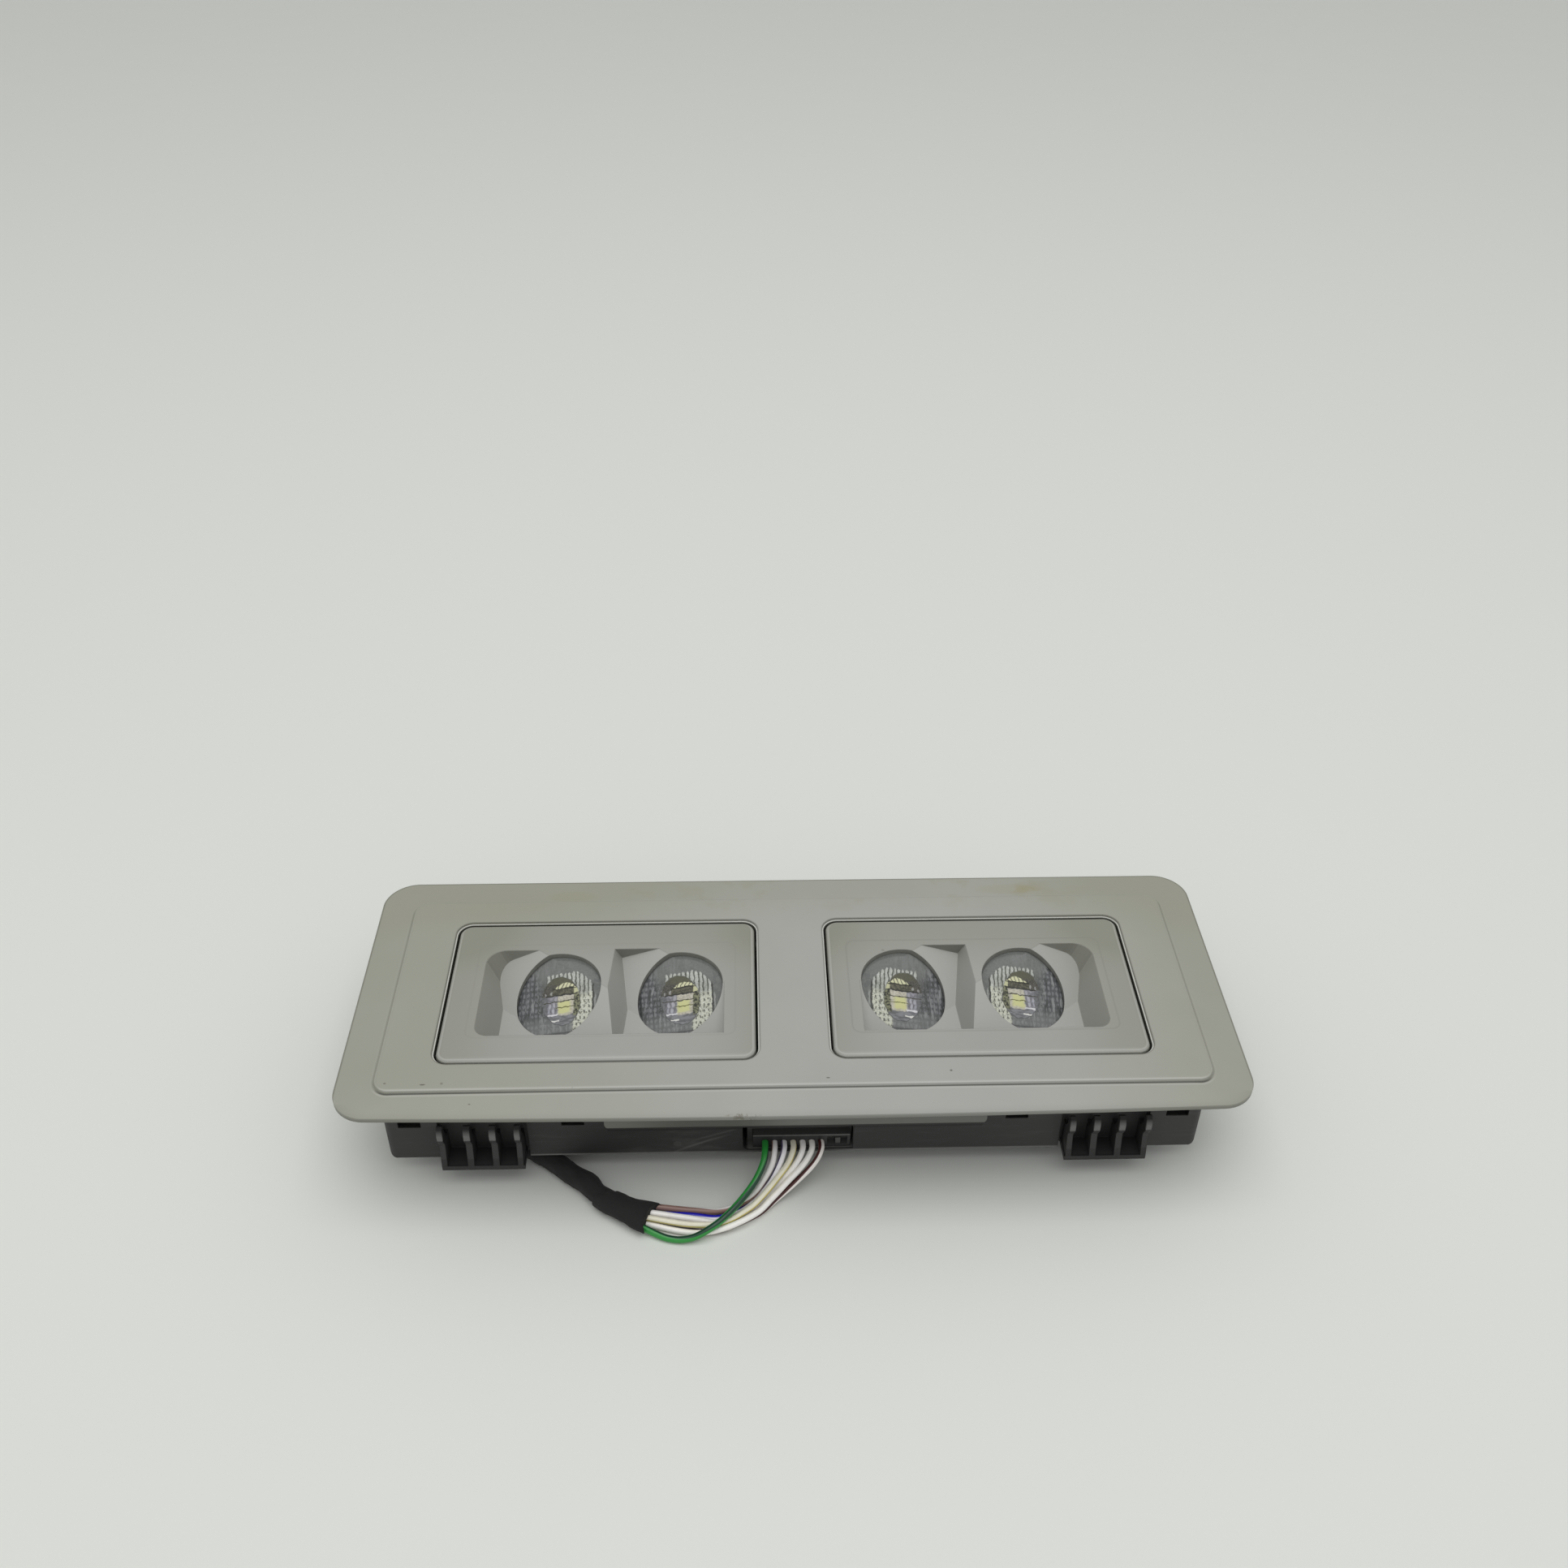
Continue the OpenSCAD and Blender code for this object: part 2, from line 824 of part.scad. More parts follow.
module screw(head, l) {
    difference() {
        union() {
            cylinder(d = screw_d, h = l + 1);
            translate([0, 0, l])
                cylinder(d = head, h = 1.6);
        }
        for (a = [0, 90])
            rotate([0, 0, a])
                translate([-0.3, -1.1, l + 0.8])
                    cube([0.6, 2.2, 1]);
    }
}

module board_screws() {
    color([0.7, 0.71, 0.72])
        for (x = [-screw_x, screw_x])
            for (y = screw_y)
                translate([x, y, board_z - 6])
                    screw(4.2, 6);
}

module cover_screws() {
    color([0.7, 0.71, 0.72])
        for (x = [-cover_screw_x, cover_screw_x])
            for (y = cover_screw_y)
                translate([x, y, floor_z - cover_flange + 5])
                    mirror([0, 0, 1])
                        screw(4.2, 5);
}

module plug() {
    color([0.1, 0.1, 0.105])
        difference() {
            union() {
                translate([plug_left, plug_face, floor_z + sill_t + 0.2])
                    cube([plug_right - plug_left, header_face - plug_face, 4.7]);
                translate([plug_left, header_face - 0.5, floor_z + 1.4])
                    cube([plug_right - plug_left - 0.3, plug_back - header_face + 0.5, 3.9]);
            }
            for (i = [0:6]) {
                translate([wire_x0 + i * wire_pitch, plug_face - 1, wire_z])
                    rotate([-90, 0, 0])
                        cylinder(d = wire_d + (i == 0 ? green_extra : 0) + 0.25, h = 2);
                translate([wire_x0 + i * wire_pitch - 0.4, plug_back - 4, wire_z - 0.4])
                    cube([0.8, 5, 0.8]);
            }
            translate([8.6, plug_face - 1, floor_z + 1.7])
                cube([5.4, 3, 3.2]);
        }
}

module plug_lock() {
    color([0.2, 0.2, 0.21])
        translate([10.8, plug_face + 0.3, floor_z + 1.7])
            cube([1.4, 1.7, 2.2]);
}

// directions along a line of points
function unit(v) = v / norm(v);
function heading(p, i) = unit(p[min(i + 1, len(p) - 1)] - p[max(i - 1, 0)]);
function across(p, i) = unit(cross(heading(p, i), [0, 0, 1]));
function upward(p, i) = cross(across(p, i), heading(p, i));
function ring(p, i, a, b, n) = [
    for (k = [0:n - 1])
        p[i] + a * cos(360 * k / n) * across(p, i) + b * sin(360 * k / n) * upward(p, i)
];

// a tube along points p, with half width a[i] and half height b[i] at each ring
module tube(p, a, b, n) {
    m = len(p);
    verts = [for (i = [0:m - 1]) each ring(p, i, a[i], b[i], n)];
    sides = [
        for (i = [0:m - 2])
            for (k = [0:n - 1])
                let (k2 = (k + 1) % n)
                    [i * n + k, i * n + k2, (i + 1) * n + k2, (i + 1) * n + k]
    ];
    first = [for (k = [n - 1:-1:0]) k];
    last = [for (k = [0:n - 1]) (m - 1) * n + k];
    polyhedron(verts, concat([first], sides, [last]), convexity = 6);
}

module wire(p, d) {
    r = [for (q = p) d / 2];
    tube(p, r, r, 8);
}

green_line = [
    [-8.1, -34.6, 10.9], [-8.1, -38.2, 10.9], [-9.3, -41.4, 9.3], [-12, -45.2, 6.9], [-15.6, -49.6, 5],
    [-19, -53.7, 4.6], [-22.6, -57.1, 3.5], [-27.6, -59, 1.3], [-33.8, -58.6, 1], [-41.2, -55.4, 1.9]
];
taupe_line = [
    [-5.6, -34.6, 10.9], [-5.6, -38.2, 10.9], [-6.6, -41.3, 8.9], [-9, -44.2, 5.8], [-11.9, -47.3, 3.1],
    [-15.5, -49.5, 2.4], [-20.9, -50.3, 1], [-28.5, -49.6, 0.8], [-37.8, -49.4, 2]
];
blue_line = [
    [-3.1, -34.6, 10.9], [-3.1, -38.2, 10.9], [-4.2, -41.3, 8.9], [-6.8, -44.2, 5.8], [-10, -46.2, 2.1],
    [-14.4, -49.7, 0.8], [-20.8, -52.3, 0.8], [-28.5, -51.3, 0.8], [-38.5, -50.7, 1.1]
];
yellow_line = [
    [-0.6, -34.6, 10.9], [-0.6, -38.2, 10.9], [-1.7, -41.3, 8.9], [-4.4, -44.2, 5.8], [-8.3, -47.4, 3.2],
    [-12.1, -51.1, 2.8], [-19.8, -55, 2.4], [-28, -55.4, 2.4], [-39.8, -53.1, 2.6]
];
white_1_line = [
    [1.9, -34.6, 10.9], [1.9, -38.2, 10.9], [0.7, -41.3, 8.9], [-2.2, -44, 5.8], [-6.3, -46.1, 2.1],
    [-11.7, -50.3, 1], [-20, -53.2, 2], [-28, -53.7, 2.3], [-39, -51.5, 2.6]
];
white_2_line = [
    [4.4, -34.6, 10.9], [4.4, -38.2, 10.9], [3.2, -41.3, 8.9], [-0.2, -44.3, 5.8], [-4.6, -47.5, 3.2],
    [-9.5, -51.4, 2.3], [-19.5, -56.5, 1.9], [-28, -56.8, 0.8], [-40.3, -53.8, 1.1]
];
brown_line = [
    [6.9, -34.6, 10.9], [6.9, -38.2, 10.9], [5.4, -41.4, 8.9], [1.9, -44.5, 5.6], [-3.1, -46.4, 2],
    [-8.6, -50.6, 0.8], [-19.5, -55.1, 0.8], [-28, -54.7, 0.8], [-39.5, -52.3, 1.1]
];
tape_line = [
    [-39.8, -52.4, 2.8], [-43.2, -50.6, 2.9], [-47.6, -48.6, 3.3], [-52.4, -45.4, 3.5], [-58, -40.6, 3.5],
    [-64, -36.4, 3.5], [-70, -32, 3.5], [-77, -25.4, 3.5], [-83.2, -15, 3.5], [-87, -2, 3.5],
    [-88.6, 12, 3.5], [-88.8, 26, 3.5]
];
tape_half = [for (i = [0:len(tape_line) - 1]) i == 0 ? 1.3 : i == 1 ? 1.22 : i == 2 ? 1.04 : 1];
tape_flat = [for (i = [0:len(tape_line) - 1]) i == 0 ? 0.72 : i == 1 ? 0.76 : i == 2 ? 0.92 : 1];

module wire_green() {
    color([0.15, 0.5, 0.22]) wire(green_line, wire_d + green_extra);
}

module wire_taupe() {
    color([0.6, 0.52, 0.48]) wire(taupe_line, wire_d);
}

module wire_blue() {
    color([0.8, 0.8, 0.85]) wire(blue_line, wire_d);
}

module wire_yellow() {
    color([0.85, 0.83, 0.7]) wire(yellow_line, wire_d);
}

module wire_white_1() {
    color([0.85, 0.84, 0.82]) wire(white_1_line, wire_d);
}

module wire_white_2() {
    color([0.85, 0.84, 0.82]) wire(white_2_line, wire_d);
}

module wire_brown() {
    color([0.8, 0.76, 0.74]) wire(brown_line, wire_d);
}

module harness_tape() {
    color([0.12, 0.12, 0.12])
        tube(tape_line, tape_half * tape_d / 2, tape_flat * tape_d / 2, 12);
}

bezel();
lens_panel_left();
lens_panel_right();
lens_1();
lens_2();
lens_3();
lens_4();
led_1();
led_2();
led_3();
led_4();
switch_body_left();
switch_body_right();
switch_plunger_left();
switch_plunger_right();
circuit_board();
driver_chip();
capacitor();
board_connector();
contact_pins();
housing();
clip_front_left();
clip_front_right();
clip_rear_left();
clip_rear_right();
back_cover();
board_screws();
cover_screws();
plug();
plug_lock();
wire_green();
wire_taupe();
wire_blue();
wire_yellow();
wire_white_1();
wire_white_2();
wire_brown();
harness_tape();
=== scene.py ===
"""The car interior light lying face up on a pale table."""
import math

import bpy
from mathutils import Matrix, Vector, noise


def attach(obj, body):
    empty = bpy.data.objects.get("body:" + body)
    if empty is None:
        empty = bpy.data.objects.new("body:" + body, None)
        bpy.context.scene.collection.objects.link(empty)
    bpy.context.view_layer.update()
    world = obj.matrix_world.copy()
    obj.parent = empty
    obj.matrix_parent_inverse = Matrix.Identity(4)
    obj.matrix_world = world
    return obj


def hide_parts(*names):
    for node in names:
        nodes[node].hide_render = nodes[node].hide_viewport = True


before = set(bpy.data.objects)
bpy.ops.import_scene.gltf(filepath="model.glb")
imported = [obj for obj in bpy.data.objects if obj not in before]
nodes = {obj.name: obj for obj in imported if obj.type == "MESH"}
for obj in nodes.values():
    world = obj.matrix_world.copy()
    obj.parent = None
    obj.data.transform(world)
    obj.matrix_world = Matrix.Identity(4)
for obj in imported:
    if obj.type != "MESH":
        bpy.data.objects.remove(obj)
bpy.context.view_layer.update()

MM = 0.001

# camera of the photograph, in pixels, millimetres and degrees
PHOTO_SIDE = 1932
FOCAL_LENGTH = 1880
SENSOR_SIDE = 36
CAMERA_PLACE = (-12.3, -305.0, 336.4)
CAMERA_PITCH = 37.17
CAMERA_YAW = -1.8
CAMERA_ROLL = 0.48

# outlines on the face in millimetres, as in part.scad: middle, half size and corner radius
FLANGE = ((0.0, 0.0), (120.0, 46.0), 9.5)
RAISED = ((0.0, -1.3), (109.8, 36.6), 4.5)
OPENING = ((52.65, -1.5), (43.35, 27.4), 4.6)
PANEL = ((52.65, -1.5), (42.45, 26.5), 3.7)
MOULD_LINE = ((52.0, -1.7), (36.2, 17.9), 2.5)

# heights of the ledge round the openings, of the dark gap inside it and of the pockets' rims
LEDGE_FOOT = 35.2
LEDGE_TOP = 35.6
GAP_TOP = 34.9
POCKET_TOP = 35.8
FACE_TOP = 35.9

# front walls, each just behind its outer face on Y, and what the housing's wall carries
APRON_WALL = -37.0
HOUSING_WALL = -36.0
PLUG_FACE = -35.5
RECESS_WALL = -24.0
RECESS_ENDS = (-13.0, 24.0)
ROUND_MARK = (-31.6, 11.8)

# lenses and diodes: the inner one's distance from the middle of the light, their pitch, and Y
INNER_LENS = 31.3
LENS_PITCH = 33.8
LENS_MIDDLE = 0.4
BETWEEN_LENSES = INNER_LENS + LENS_PITCH / 2


def place_camera():
    pitch, yaw, roll = (math.radians(turn) for turn in (CAMERA_PITCH, CAMERA_YAW, CAMERA_ROLL))
    turned = Matrix.Rotation(yaw, 3, "Z")
    ahead = turned @ Vector((0, math.cos(pitch), -math.sin(pitch)))
    up = turned @ Vector((0, math.sin(pitch), math.cos(pitch)))
    right = turned @ Vector((1, 0, 0))
    across = math.cos(roll) * right + math.sin(roll) * up
    upward = math.cos(roll) * up - math.sin(roll) * right
    data = bpy.data.cameras.new("photo_camera")
    data.sensor_width = SENSOR_SIDE
    data.lens = FOCAL_LENGTH / PHOTO_SIDE * SENSOR_SIDE
    data.clip_start = 0.01
    camera = bpy.data.objects.new("photo_camera", data)
    bpy.context.scene.collection.objects.link(camera)
    stance = Matrix((across, upward, -ahead)).transposed().to_4x4()
    camera.matrix_world = Matrix.Translation(Vector(CAMERA_PLACE) * MM) @ stance
    bpy.context.scene.camera = camera


place_camera()


# what finishes are made with
class Level:
    """A socket of a finish; arithmetic on it adds the math nodes."""

    def __init__(self, finish, socket):
        self.finish = finish
        self.socket = socket

    def math(self, operation, *values):
        return self.finish.node("Math", {"operation": operation}, dict(enumerate(values)))

    def __add__(self, other):
        return self.math("ADD", self, other)

    def __sub__(self, other):
        return self.math("SUBTRACT", self, other)

    def __rsub__(self, other):
        return self.math("SUBTRACT", other, self)

    def __mul__(self, other):
        return self.math("MULTIPLY", self, other)

    def __truediv__(self, other):
        return self.math("DIVIDE", self, other)

    def __pow__(self, other):
        return self.math("POWER", self, other)

    def __neg__(self):
        return self.math("MULTIPLY", self, -1.0)

    def __abs__(self):
        return self.math("ABSOLUTE", self)

    def __gt__(self, other):
        return self.math("GREATER_THAN", self, other)

    def __lt__(self, other):
        return self.math("LESS_THAN", self, other)

    def fract(self):
        return self.math("FRACT", self)

    def root(self):
        return self.math("SQRT", self)

    def least(self, other):
        return self.math("MINIMUM", self, other)

    def most(self, other):
        return self.math("MAXIMUM", self, other)

    def between(self, low, high):
        """0 at low, 1 at high, eased and held outside."""
        return self.finish.node(
            "MapRange",
            {"interpolation_type": "SMOOTHSTEP"},
            {"Value": self, "From Min": low, "From Max": high},
        )

    __radd__ = __add__
    __rmul__ = __mul__


class Finish:
    """A procedural material; node() adds any node to it.

    spot is the place on the piece in millimetres, from Object coordinates, and x, y and z are its parts.
    """

    def __init__(self, name, color, roughness, **fixed):
        self.material = bpy.data.materials.new(name)
        self.material.use_nodes = True
        self.material.diffuse_color = linear(color)
        self.tree = self.material.node_tree
        self.shader = next(n for n in self.tree.nodes if n.type == "BSDF_PRINCIPLED")
        self.set("Base Color", color)
        self.set("Roughness", roughness)
        for socket, value in fixed.items():
            self.set(socket.replace("_", " "), value)
        raw = self.node("TexCoord", {}, {}, "Object")
        self.spot = self.node("VectorMath", {"operation": "SCALE"}, {0: raw, "Scale": 1 / MM})
        self.x, self.y, self.z = (self.node("SeparateXYZ", {}, {0: self.spot}, axis) for axis in range(3))

    def put(self, socket, value):
        if isinstance(value, Level):
            self.tree.links.new(value.socket, socket)
        elif socket.type == "RGBA":
            socket.default_value = linear(value)
        else:
            socket.default_value = value

    def set(self, socket, value):
        self.put(self.shader.inputs[socket], value)

    def node(self, kind, settings, values, output=0):
        made = self.tree.nodes.new("ShaderNode" + kind)
        for key, value in settings.items():
            setattr(made, key, value)
        for key, value in values.items():
            self.put(made.inputs[key], value)
        return Level(self, made.outputs[output])

    def cloud(self, lumps, detail=3, rough=0.55, stretch=(1, 1, 1), turn=(0, 0, 0), shift=(0, 0, 0)):
        """Smooth noise between 0 and 1, with so many lumps per millimetre."""
        placing = {"Vector": self.spot, "Location": shift, "Rotation": turn, "Scale": stretch}
        place = self.node("Mapping", {}, placing)
        values = {"Vector": place, "Scale": lumps, "Detail": detail, "Roughness": rough}
        return self.node("TexNoise", {}, values)

    def mix(self, mask, low, high):
        """Colour low where mask is 0 and high where it is 1."""
        return self.node("Mix", {"data_type": "RGBA"}, {0: mask, 6: low, 7: high}, 2)

    def bump(self, height, strength, depth, edge=0.0):
        """Relief from a height, depth millimetres deep, over edges rounded by edge millimetres."""
        values = {"Height": height, "Strength": strength, "Distance": depth * MM}
        if edge:
            values["Normal"] = self.node("Bevel", {"samples": 6}, {"Radius": edge * MM})
        self.set("Normal", self.node("Bump", {}, values))

    def facing(self):
        """The three parts of the object-space normal, each from -1 to 1."""
        normal = self.node("TexCoord", {}, {}, "Normal")
        return [self.node("SeparateXYZ", {}, {0: normal}, axis) for axis in range(3)]


class Coat:
    """A colour built up in layers."""

    def __init__(self, finish, color):
        self.finish = finish
        self.color = color

    def lay(self, mask, color):
        """Cover what is there with a colour where mask is 1."""
        self.color = self.finish.mix(mask, self.color, color)


def linear(color):
    """A colour of three parts between 0 and 1, as the eye reads them, made linear, with full alpha."""
    return tuple(c / 12.92 if c <= 0.04045 else ((c + 0.055) / 1.055) ** 2.4 for c in color) + (1.0,)


def tone(r, g, b):
    """A colour as the eye reads it off a picture, in 0 to 255."""
    return (r / 255, g / 255, b / 255)


def shade(color, strength):
    return tuple(part * strength for part in color)


def strip(value, low, high, soft=0.12):
    """1 between low and high, eased over soft at both ends."""
    return value.between(low - soft, low + soft) * (1 - value.between(high - soft, high + soft))


def reach(across, along):
    """Distance from a point, from its two parts."""
    return (across * across + along * along).root()


def outline(x, y, middle, half, radius):
    """Distance outside a rounded rectangle, in millimetres, down to -radius inside."""
    beside = (abs(x - middle[0]) - (half[0] - radius)).most(0.0)
    beyond = (abs(y - middle[1]) - (half[1] - radius)).most(0.0)
    return reach(beside, beyond) - radius


def oval(x, y, middle, half, soft):
    """1 inside an oval with half axes half, in millimetres."""
    away = ((x - middle[0]) / half[0]) ** 2.0 + ((y - middle[1]) / half[1]) ** 2.0
    return 1 - away.between(1 - soft, 1 + soft)


# share of the cells of specks() that stay bare
BARE_SHARE = 0.72


def specks(f, density, size):
    """1 on small round spots. density is in cells per millimetre."""
    cells = {"Vector": f.spot, "Scale": density}
    away = f.node("TexVoronoi", {"feature": "F1"}, cells, "Distance")
    pick = f.node("TexVoronoi", {"feature": "F1"}, cells, "Color")
    chance = f.node("SeparateColor", {}, {0: pick}, 0)
    return (1 - away.between(size * 0.6, size)) * (chance > BARE_SHARE)


def paint(piece, finish):
    piece.data.materials.clear()
    piece.data.materials.append(finish.material)


# finishes of the mouldings: grain in lumps per millimetre and its depth, and tones that return
GREY_GRAIN = 3.2
BLACK_GRAIN = 2.5
GRAIN_DEPTH = 0.1
PAINTED_EDGE_HIGHLIGHT = tone(196, 197, 192)
POCKET_SHADE = tone(100, 100, 94)


def grey_moulding(name, color):
    """Light grey moulded plastic, a little uneven: the finish, its unevenness and its coat."""
    f = Finish(name, color, 0.5)
    soft = f.cloud(0.03, 4)
    base = Coat(f, color)
    base.lay(soft.between(0.35, 0.65) * 0.5, shade(color, 0.965))
    return f, soft, base


def finish_grey(f, soft, base, rough, relief, edge):
    """Puts the coat on, with an uneven roughness and a fine grain over rounded edges."""
    f.set("Base Color", base.color)
    f.set("Roughness", rough + soft * 0.12)
    f.bump(f.cloud(GREY_GRAIN, 2), relief, GRAIN_DEPTH, edge)


# dirt specks of the bezel: place and half size
DIRT_SPECKS = (
    ((-96.6, -35.8), (0.7, 0.25)),
    ((-106.4, -35.2), (0.35, 0.2)),
    ((40.6, -33.6), (0.35, 0.3)),
    ((8.3, -35.5), (0.5, 0.2)),
    ((-84.0, -41.2), (0.3, 0.15)),
)


def age_bezel(f, soft, base):
    """Yellowed towards the rear and both ends, with two stains near the rear edge."""
    x, y = f.x, f.y
    aged = (-x).between(-20.0, 112.0) * 0.8 + x.between(50.0, 118.0) * 0.75 + y.between(14.0, 46.0) * 0.5
    aged = aged.least(1.0) * (0.75 + soft * 0.5)
    base.lay(aged.least(1.0), tone(147, 148, 134))
    patches = f.cloud(0.07, 4, 0.6).between(0.52, 0.7)
    base.lay(patches * y.between(24.0, 40.0) * 0.35, tone(142, 139, 114))
    stain = oval(x, y, (-64.0, 38.0), (7.0, 3.2), 0.8).most(oval(x, y, (66.0, 39.5), (9.0, 2.4), 0.8))
    base.lay(stain * patches.most(0.35) * 0.55, tone(146, 140, 104))


def mark_bezel_steps(f, base):
    """Painted highlights and shade on edges, ledges and the walls below them."""
    x, y, z = f.x, f.y, f.z
    # painted highlight along the edge of the raised middle, painted shade along its foot, and a fainter
    # painted highlight beyond that
    step = outline(x, y, *RAISED)
    front = 0.15 + (1 - y.between(-38.2, -35.5)) * 0.85
    base.lay(strip(step, -0.75, -0.3, 0.14) * front * 0.5, PAINTED_EDGE_HIGHLIGHT)
    base.lay(strip(step, -0.14, 0.3, 0.1) * front.most(0.25) * 0.9, tone(62, 62, 57))
    base.lay(strip(step, 0.5, 0.85, 0.14) * front * 0.4, tone(184, 185, 179))
    # painted highlight on the ledge round the openings, with painted shade on the step outside it and in
    # the gap below it
    mouth = outline(abs(x), y, *OPENING)
    ledge = strip(mouth, -0.45, -0.06, 0.06) * (z > LEDGE_FOOT) * (z < LEDGE_TOP)
    base.lay(ledge * 0.8, tone(214, 215, 208))
    base.lay(strip(mouth, -0.05, 0.28, 0.08) * (z > LEDGE_FOOT) * 0.45, tone(98, 98, 90))
    base.lay((z < LEDGE_FOOT) * (mouth < 0.6) * 0.75, tone(62, 62, 58))
    # the front apron lies back in the shade of the lip, and its foot is the darkest
    apron = (y < APRON_WALL) * (1 - z.between(32.0, 32.4))
    dim = 0.64 + strip(x, -38.0, -6.0, 10.0) * 0.24 + x.between(0.0, 12.0) * 0.08
    base.lay(apron * dim, tone(72, 72, 66))
    base.lay(apron * (1 - z.between(21.75, 22.05)) * 0.95, tone(18, 18, 17))
    # painted shade on the thin outer edge and on the rim, darker than the face
    lip = (y < -40.0) * (1 - z.between(32.6, 34.0)) * (1 - apron)
    base.lay(lip * 0.6, tone(98, 98, 91))
    rim = outline(x, y, *FLANGE)
    base.lay(strip(rim, -0.45, 0.6, 0.1) * (y > -41.0) * (z > 31.0) * 0.6, tone(104, 104, 94))


def bezel_finish():
    """Light grey face plate, yellowed and a little dirty, with painted highlights and shade at its edges.
    """
    f, soft, base = grey_moulding("bezel_grey", tone(163, 164, 159))
    age_bezel(f, soft, base)
    mark_bezel_steps(f, base)
    base.lay(specks(f, 0.09, 0.05) * 0.5, tone(96, 92, 82))
    for middle, half in DIRT_SPECKS:
        base.lay(oval(f.x, f.y, middle, half, 0.6) * 0.75, tone(78, 74, 66))
    scuff = oval(f.x, f.y, (-13.6, -45.6), (4.2, 0.5), 0.6) * f.cloud(0.8).between(0.42, 0.6)
    base.lay(scuff * 0.7, tone(92, 86, 70))
    finish_grey(f, soft, base, 0.44, 0.12, 0.35)
    return f


def panel_finish():
    """As the bezel, a little cooler, with a faint moulding line round the pockets."""
    f, soft, base = grey_moulding("panel_grey", tone(157, 158, 153))
    x, y, z = f.x, f.y, f.z
    aged = y.between(0.0, 22.0) * 0.6 + abs(abs(x) - 48.0).between(18.0, 46.0) * 0.65
    base.lay(aged.least(1.0), tone(135, 136, 124))
    base.lay(specks(f, 0.07, 0.04) * 0.35, tone(104, 102, 94))
    line = abs(outline(abs(x), y, *MOULD_LINE))
    faint = (1 - line.between(0.1, 0.4)) * (z > FACE_TOP)
    base.lay(faint * (0.12 + (x > 0) * 0.16), tone(120, 121, 114))
    # painted highlight on the edge, but for its rear, and painted shade in the gap below it
    edge = outline(abs(x), y, *PANEL)
    lit = strip(edge, -1.1, -0.35, 0.2) * (z > GAP_TOP) * (1 - y.between(22.0, 25.0) * 0.8)
    base.lay(lit * 0.35, PAINTED_EDGE_HIGHLIGHT)
    base.lay((z < GAP_TOP) * (edge > -0.6) * 0.7, tone(60, 60, 56))
    # pockets: lit ramps, and walls that look away from the light
    pocket = (edge < -2.5) * (z < POCKET_TOP)
    sideways, rearward, upward = f.facing()
    ramp = upward > 0.7
    rear_wall = rearward < -0.8
    corner = (rearward < -0.12) * (rearward > -0.8) * (upward < 0.7)
    base.lay(pocket * ramp * 0.5, tone(178, 179, 175))
    base.lay(pocket * rear_wall * 0.58, POCKET_SHADE)
    base.lay(pocket * corner * 0.42, POCKET_SHADE)
    base.lay(pocket * (abs(sideways) > 0.8) * 0.08, tone(112, 113, 108))
    finish_grey(f, soft, base, 0.42, 0.1, 0.3)
    return f


def black_moulding(name, color, rough, smear, edge=0.3):
    """Black moulded plastic, dulled by dust and rubbed in streaks: the finish and its coat."""
    f = Finish(name, color, rough)
    soft = f.cloud(0.05, 4)
    streak = f.cloud(0.8, 3, 0.6, (0.1, 0.1, 0.8), (0, 0.6, 0)).between(0.5, 0.75)
    base = Coat(f, color)
    base.lay(soft.between(0.3, 0.7) * 0.6, shade(color, 1.16))
    base.lay(streak * smear, tone(88, 88, 88))
    f.set("Base Color", base.color)
    f.set("Roughness", rough - streak * 0.1 + soft * 0.1)
    f.bump(f.cloud(BLACK_GRAIN, 2), 0.12, GRAIN_DEPTH, edge)
    return f, base


# smears on the housing's front wall: middle on X, height there and slope
SMEARS = ((-24.0, 12.6, 0.42), (-28.0, 10.8, 0.5), (-21.0, 15.5, 0.38))


def housing_finish():
    """Black tray, paler at both ends of its front wall and rubbed beside the plug."""
    f, base = black_moulding("housing_black", tone(31, 31, 31), 0.5, 0.05)
    x, y, z = f.x, f.y, f.z
    front = y < HOUSING_WALL
    paler_ends = (x.between(30.0, 90.0) * 0.75).most((-x).between(80.0, 108.0) * 0.5)
    base.lay(front * paler_ends, tone(54, 54, 53))
    rubbed = f.cloud(0.35, 4, 0.65, (0.25, 0.25, 1.2)).between(0.45, 0.7) * strip(x, -46.0, -18.0, 5.0)
    base.lay(rubbed * front * 0.3, tone(84, 84, 82))
    for middle, height, slope in SMEARS:
        above = z - height - (x - middle) * slope
        smear = strip(above, -0.35, 0.35, 0.3) * strip(x, middle - 5.5, middle + 5.5, 2.5)
        base.lay(smear * front * 0.3, tone(96, 96, 94))
    # painted light: the inside of the plug's recess is painted paler, lifting its shade
    recess = (1 - front) * (y < RECESS_WALL) * strip(x, *RECESS_ENDS, 0.5)
    base.lay(recess, tone(98, 98, 96))
    # foot of the wall, lit by the table, and the shade under the apron
    foot = (1 - z.between(8.3, 8.8)) * strip(x, -76.0, -14.0, 12.0).most(strip(x, 12.0, 84.0, 6.0))
    base.lay(front * foot * 0.5, tone(140, 141, 138))
    under_apron = front * (abs(x) < 50.0) * strip(z, 17.3, 18.3, 0.15)
    base.lay(under_apron * 0.85, tone(8, 8, 8))
    # small round moulded mark
    disc = 1 - reach(x - ROUND_MARK[0], z - ROUND_MARK[1]).between(1.0, 1.25)
    base.lay(front * disc * 0.4, tone(74, 74, 73))
    f.set("Base Color", base.color)
    return f


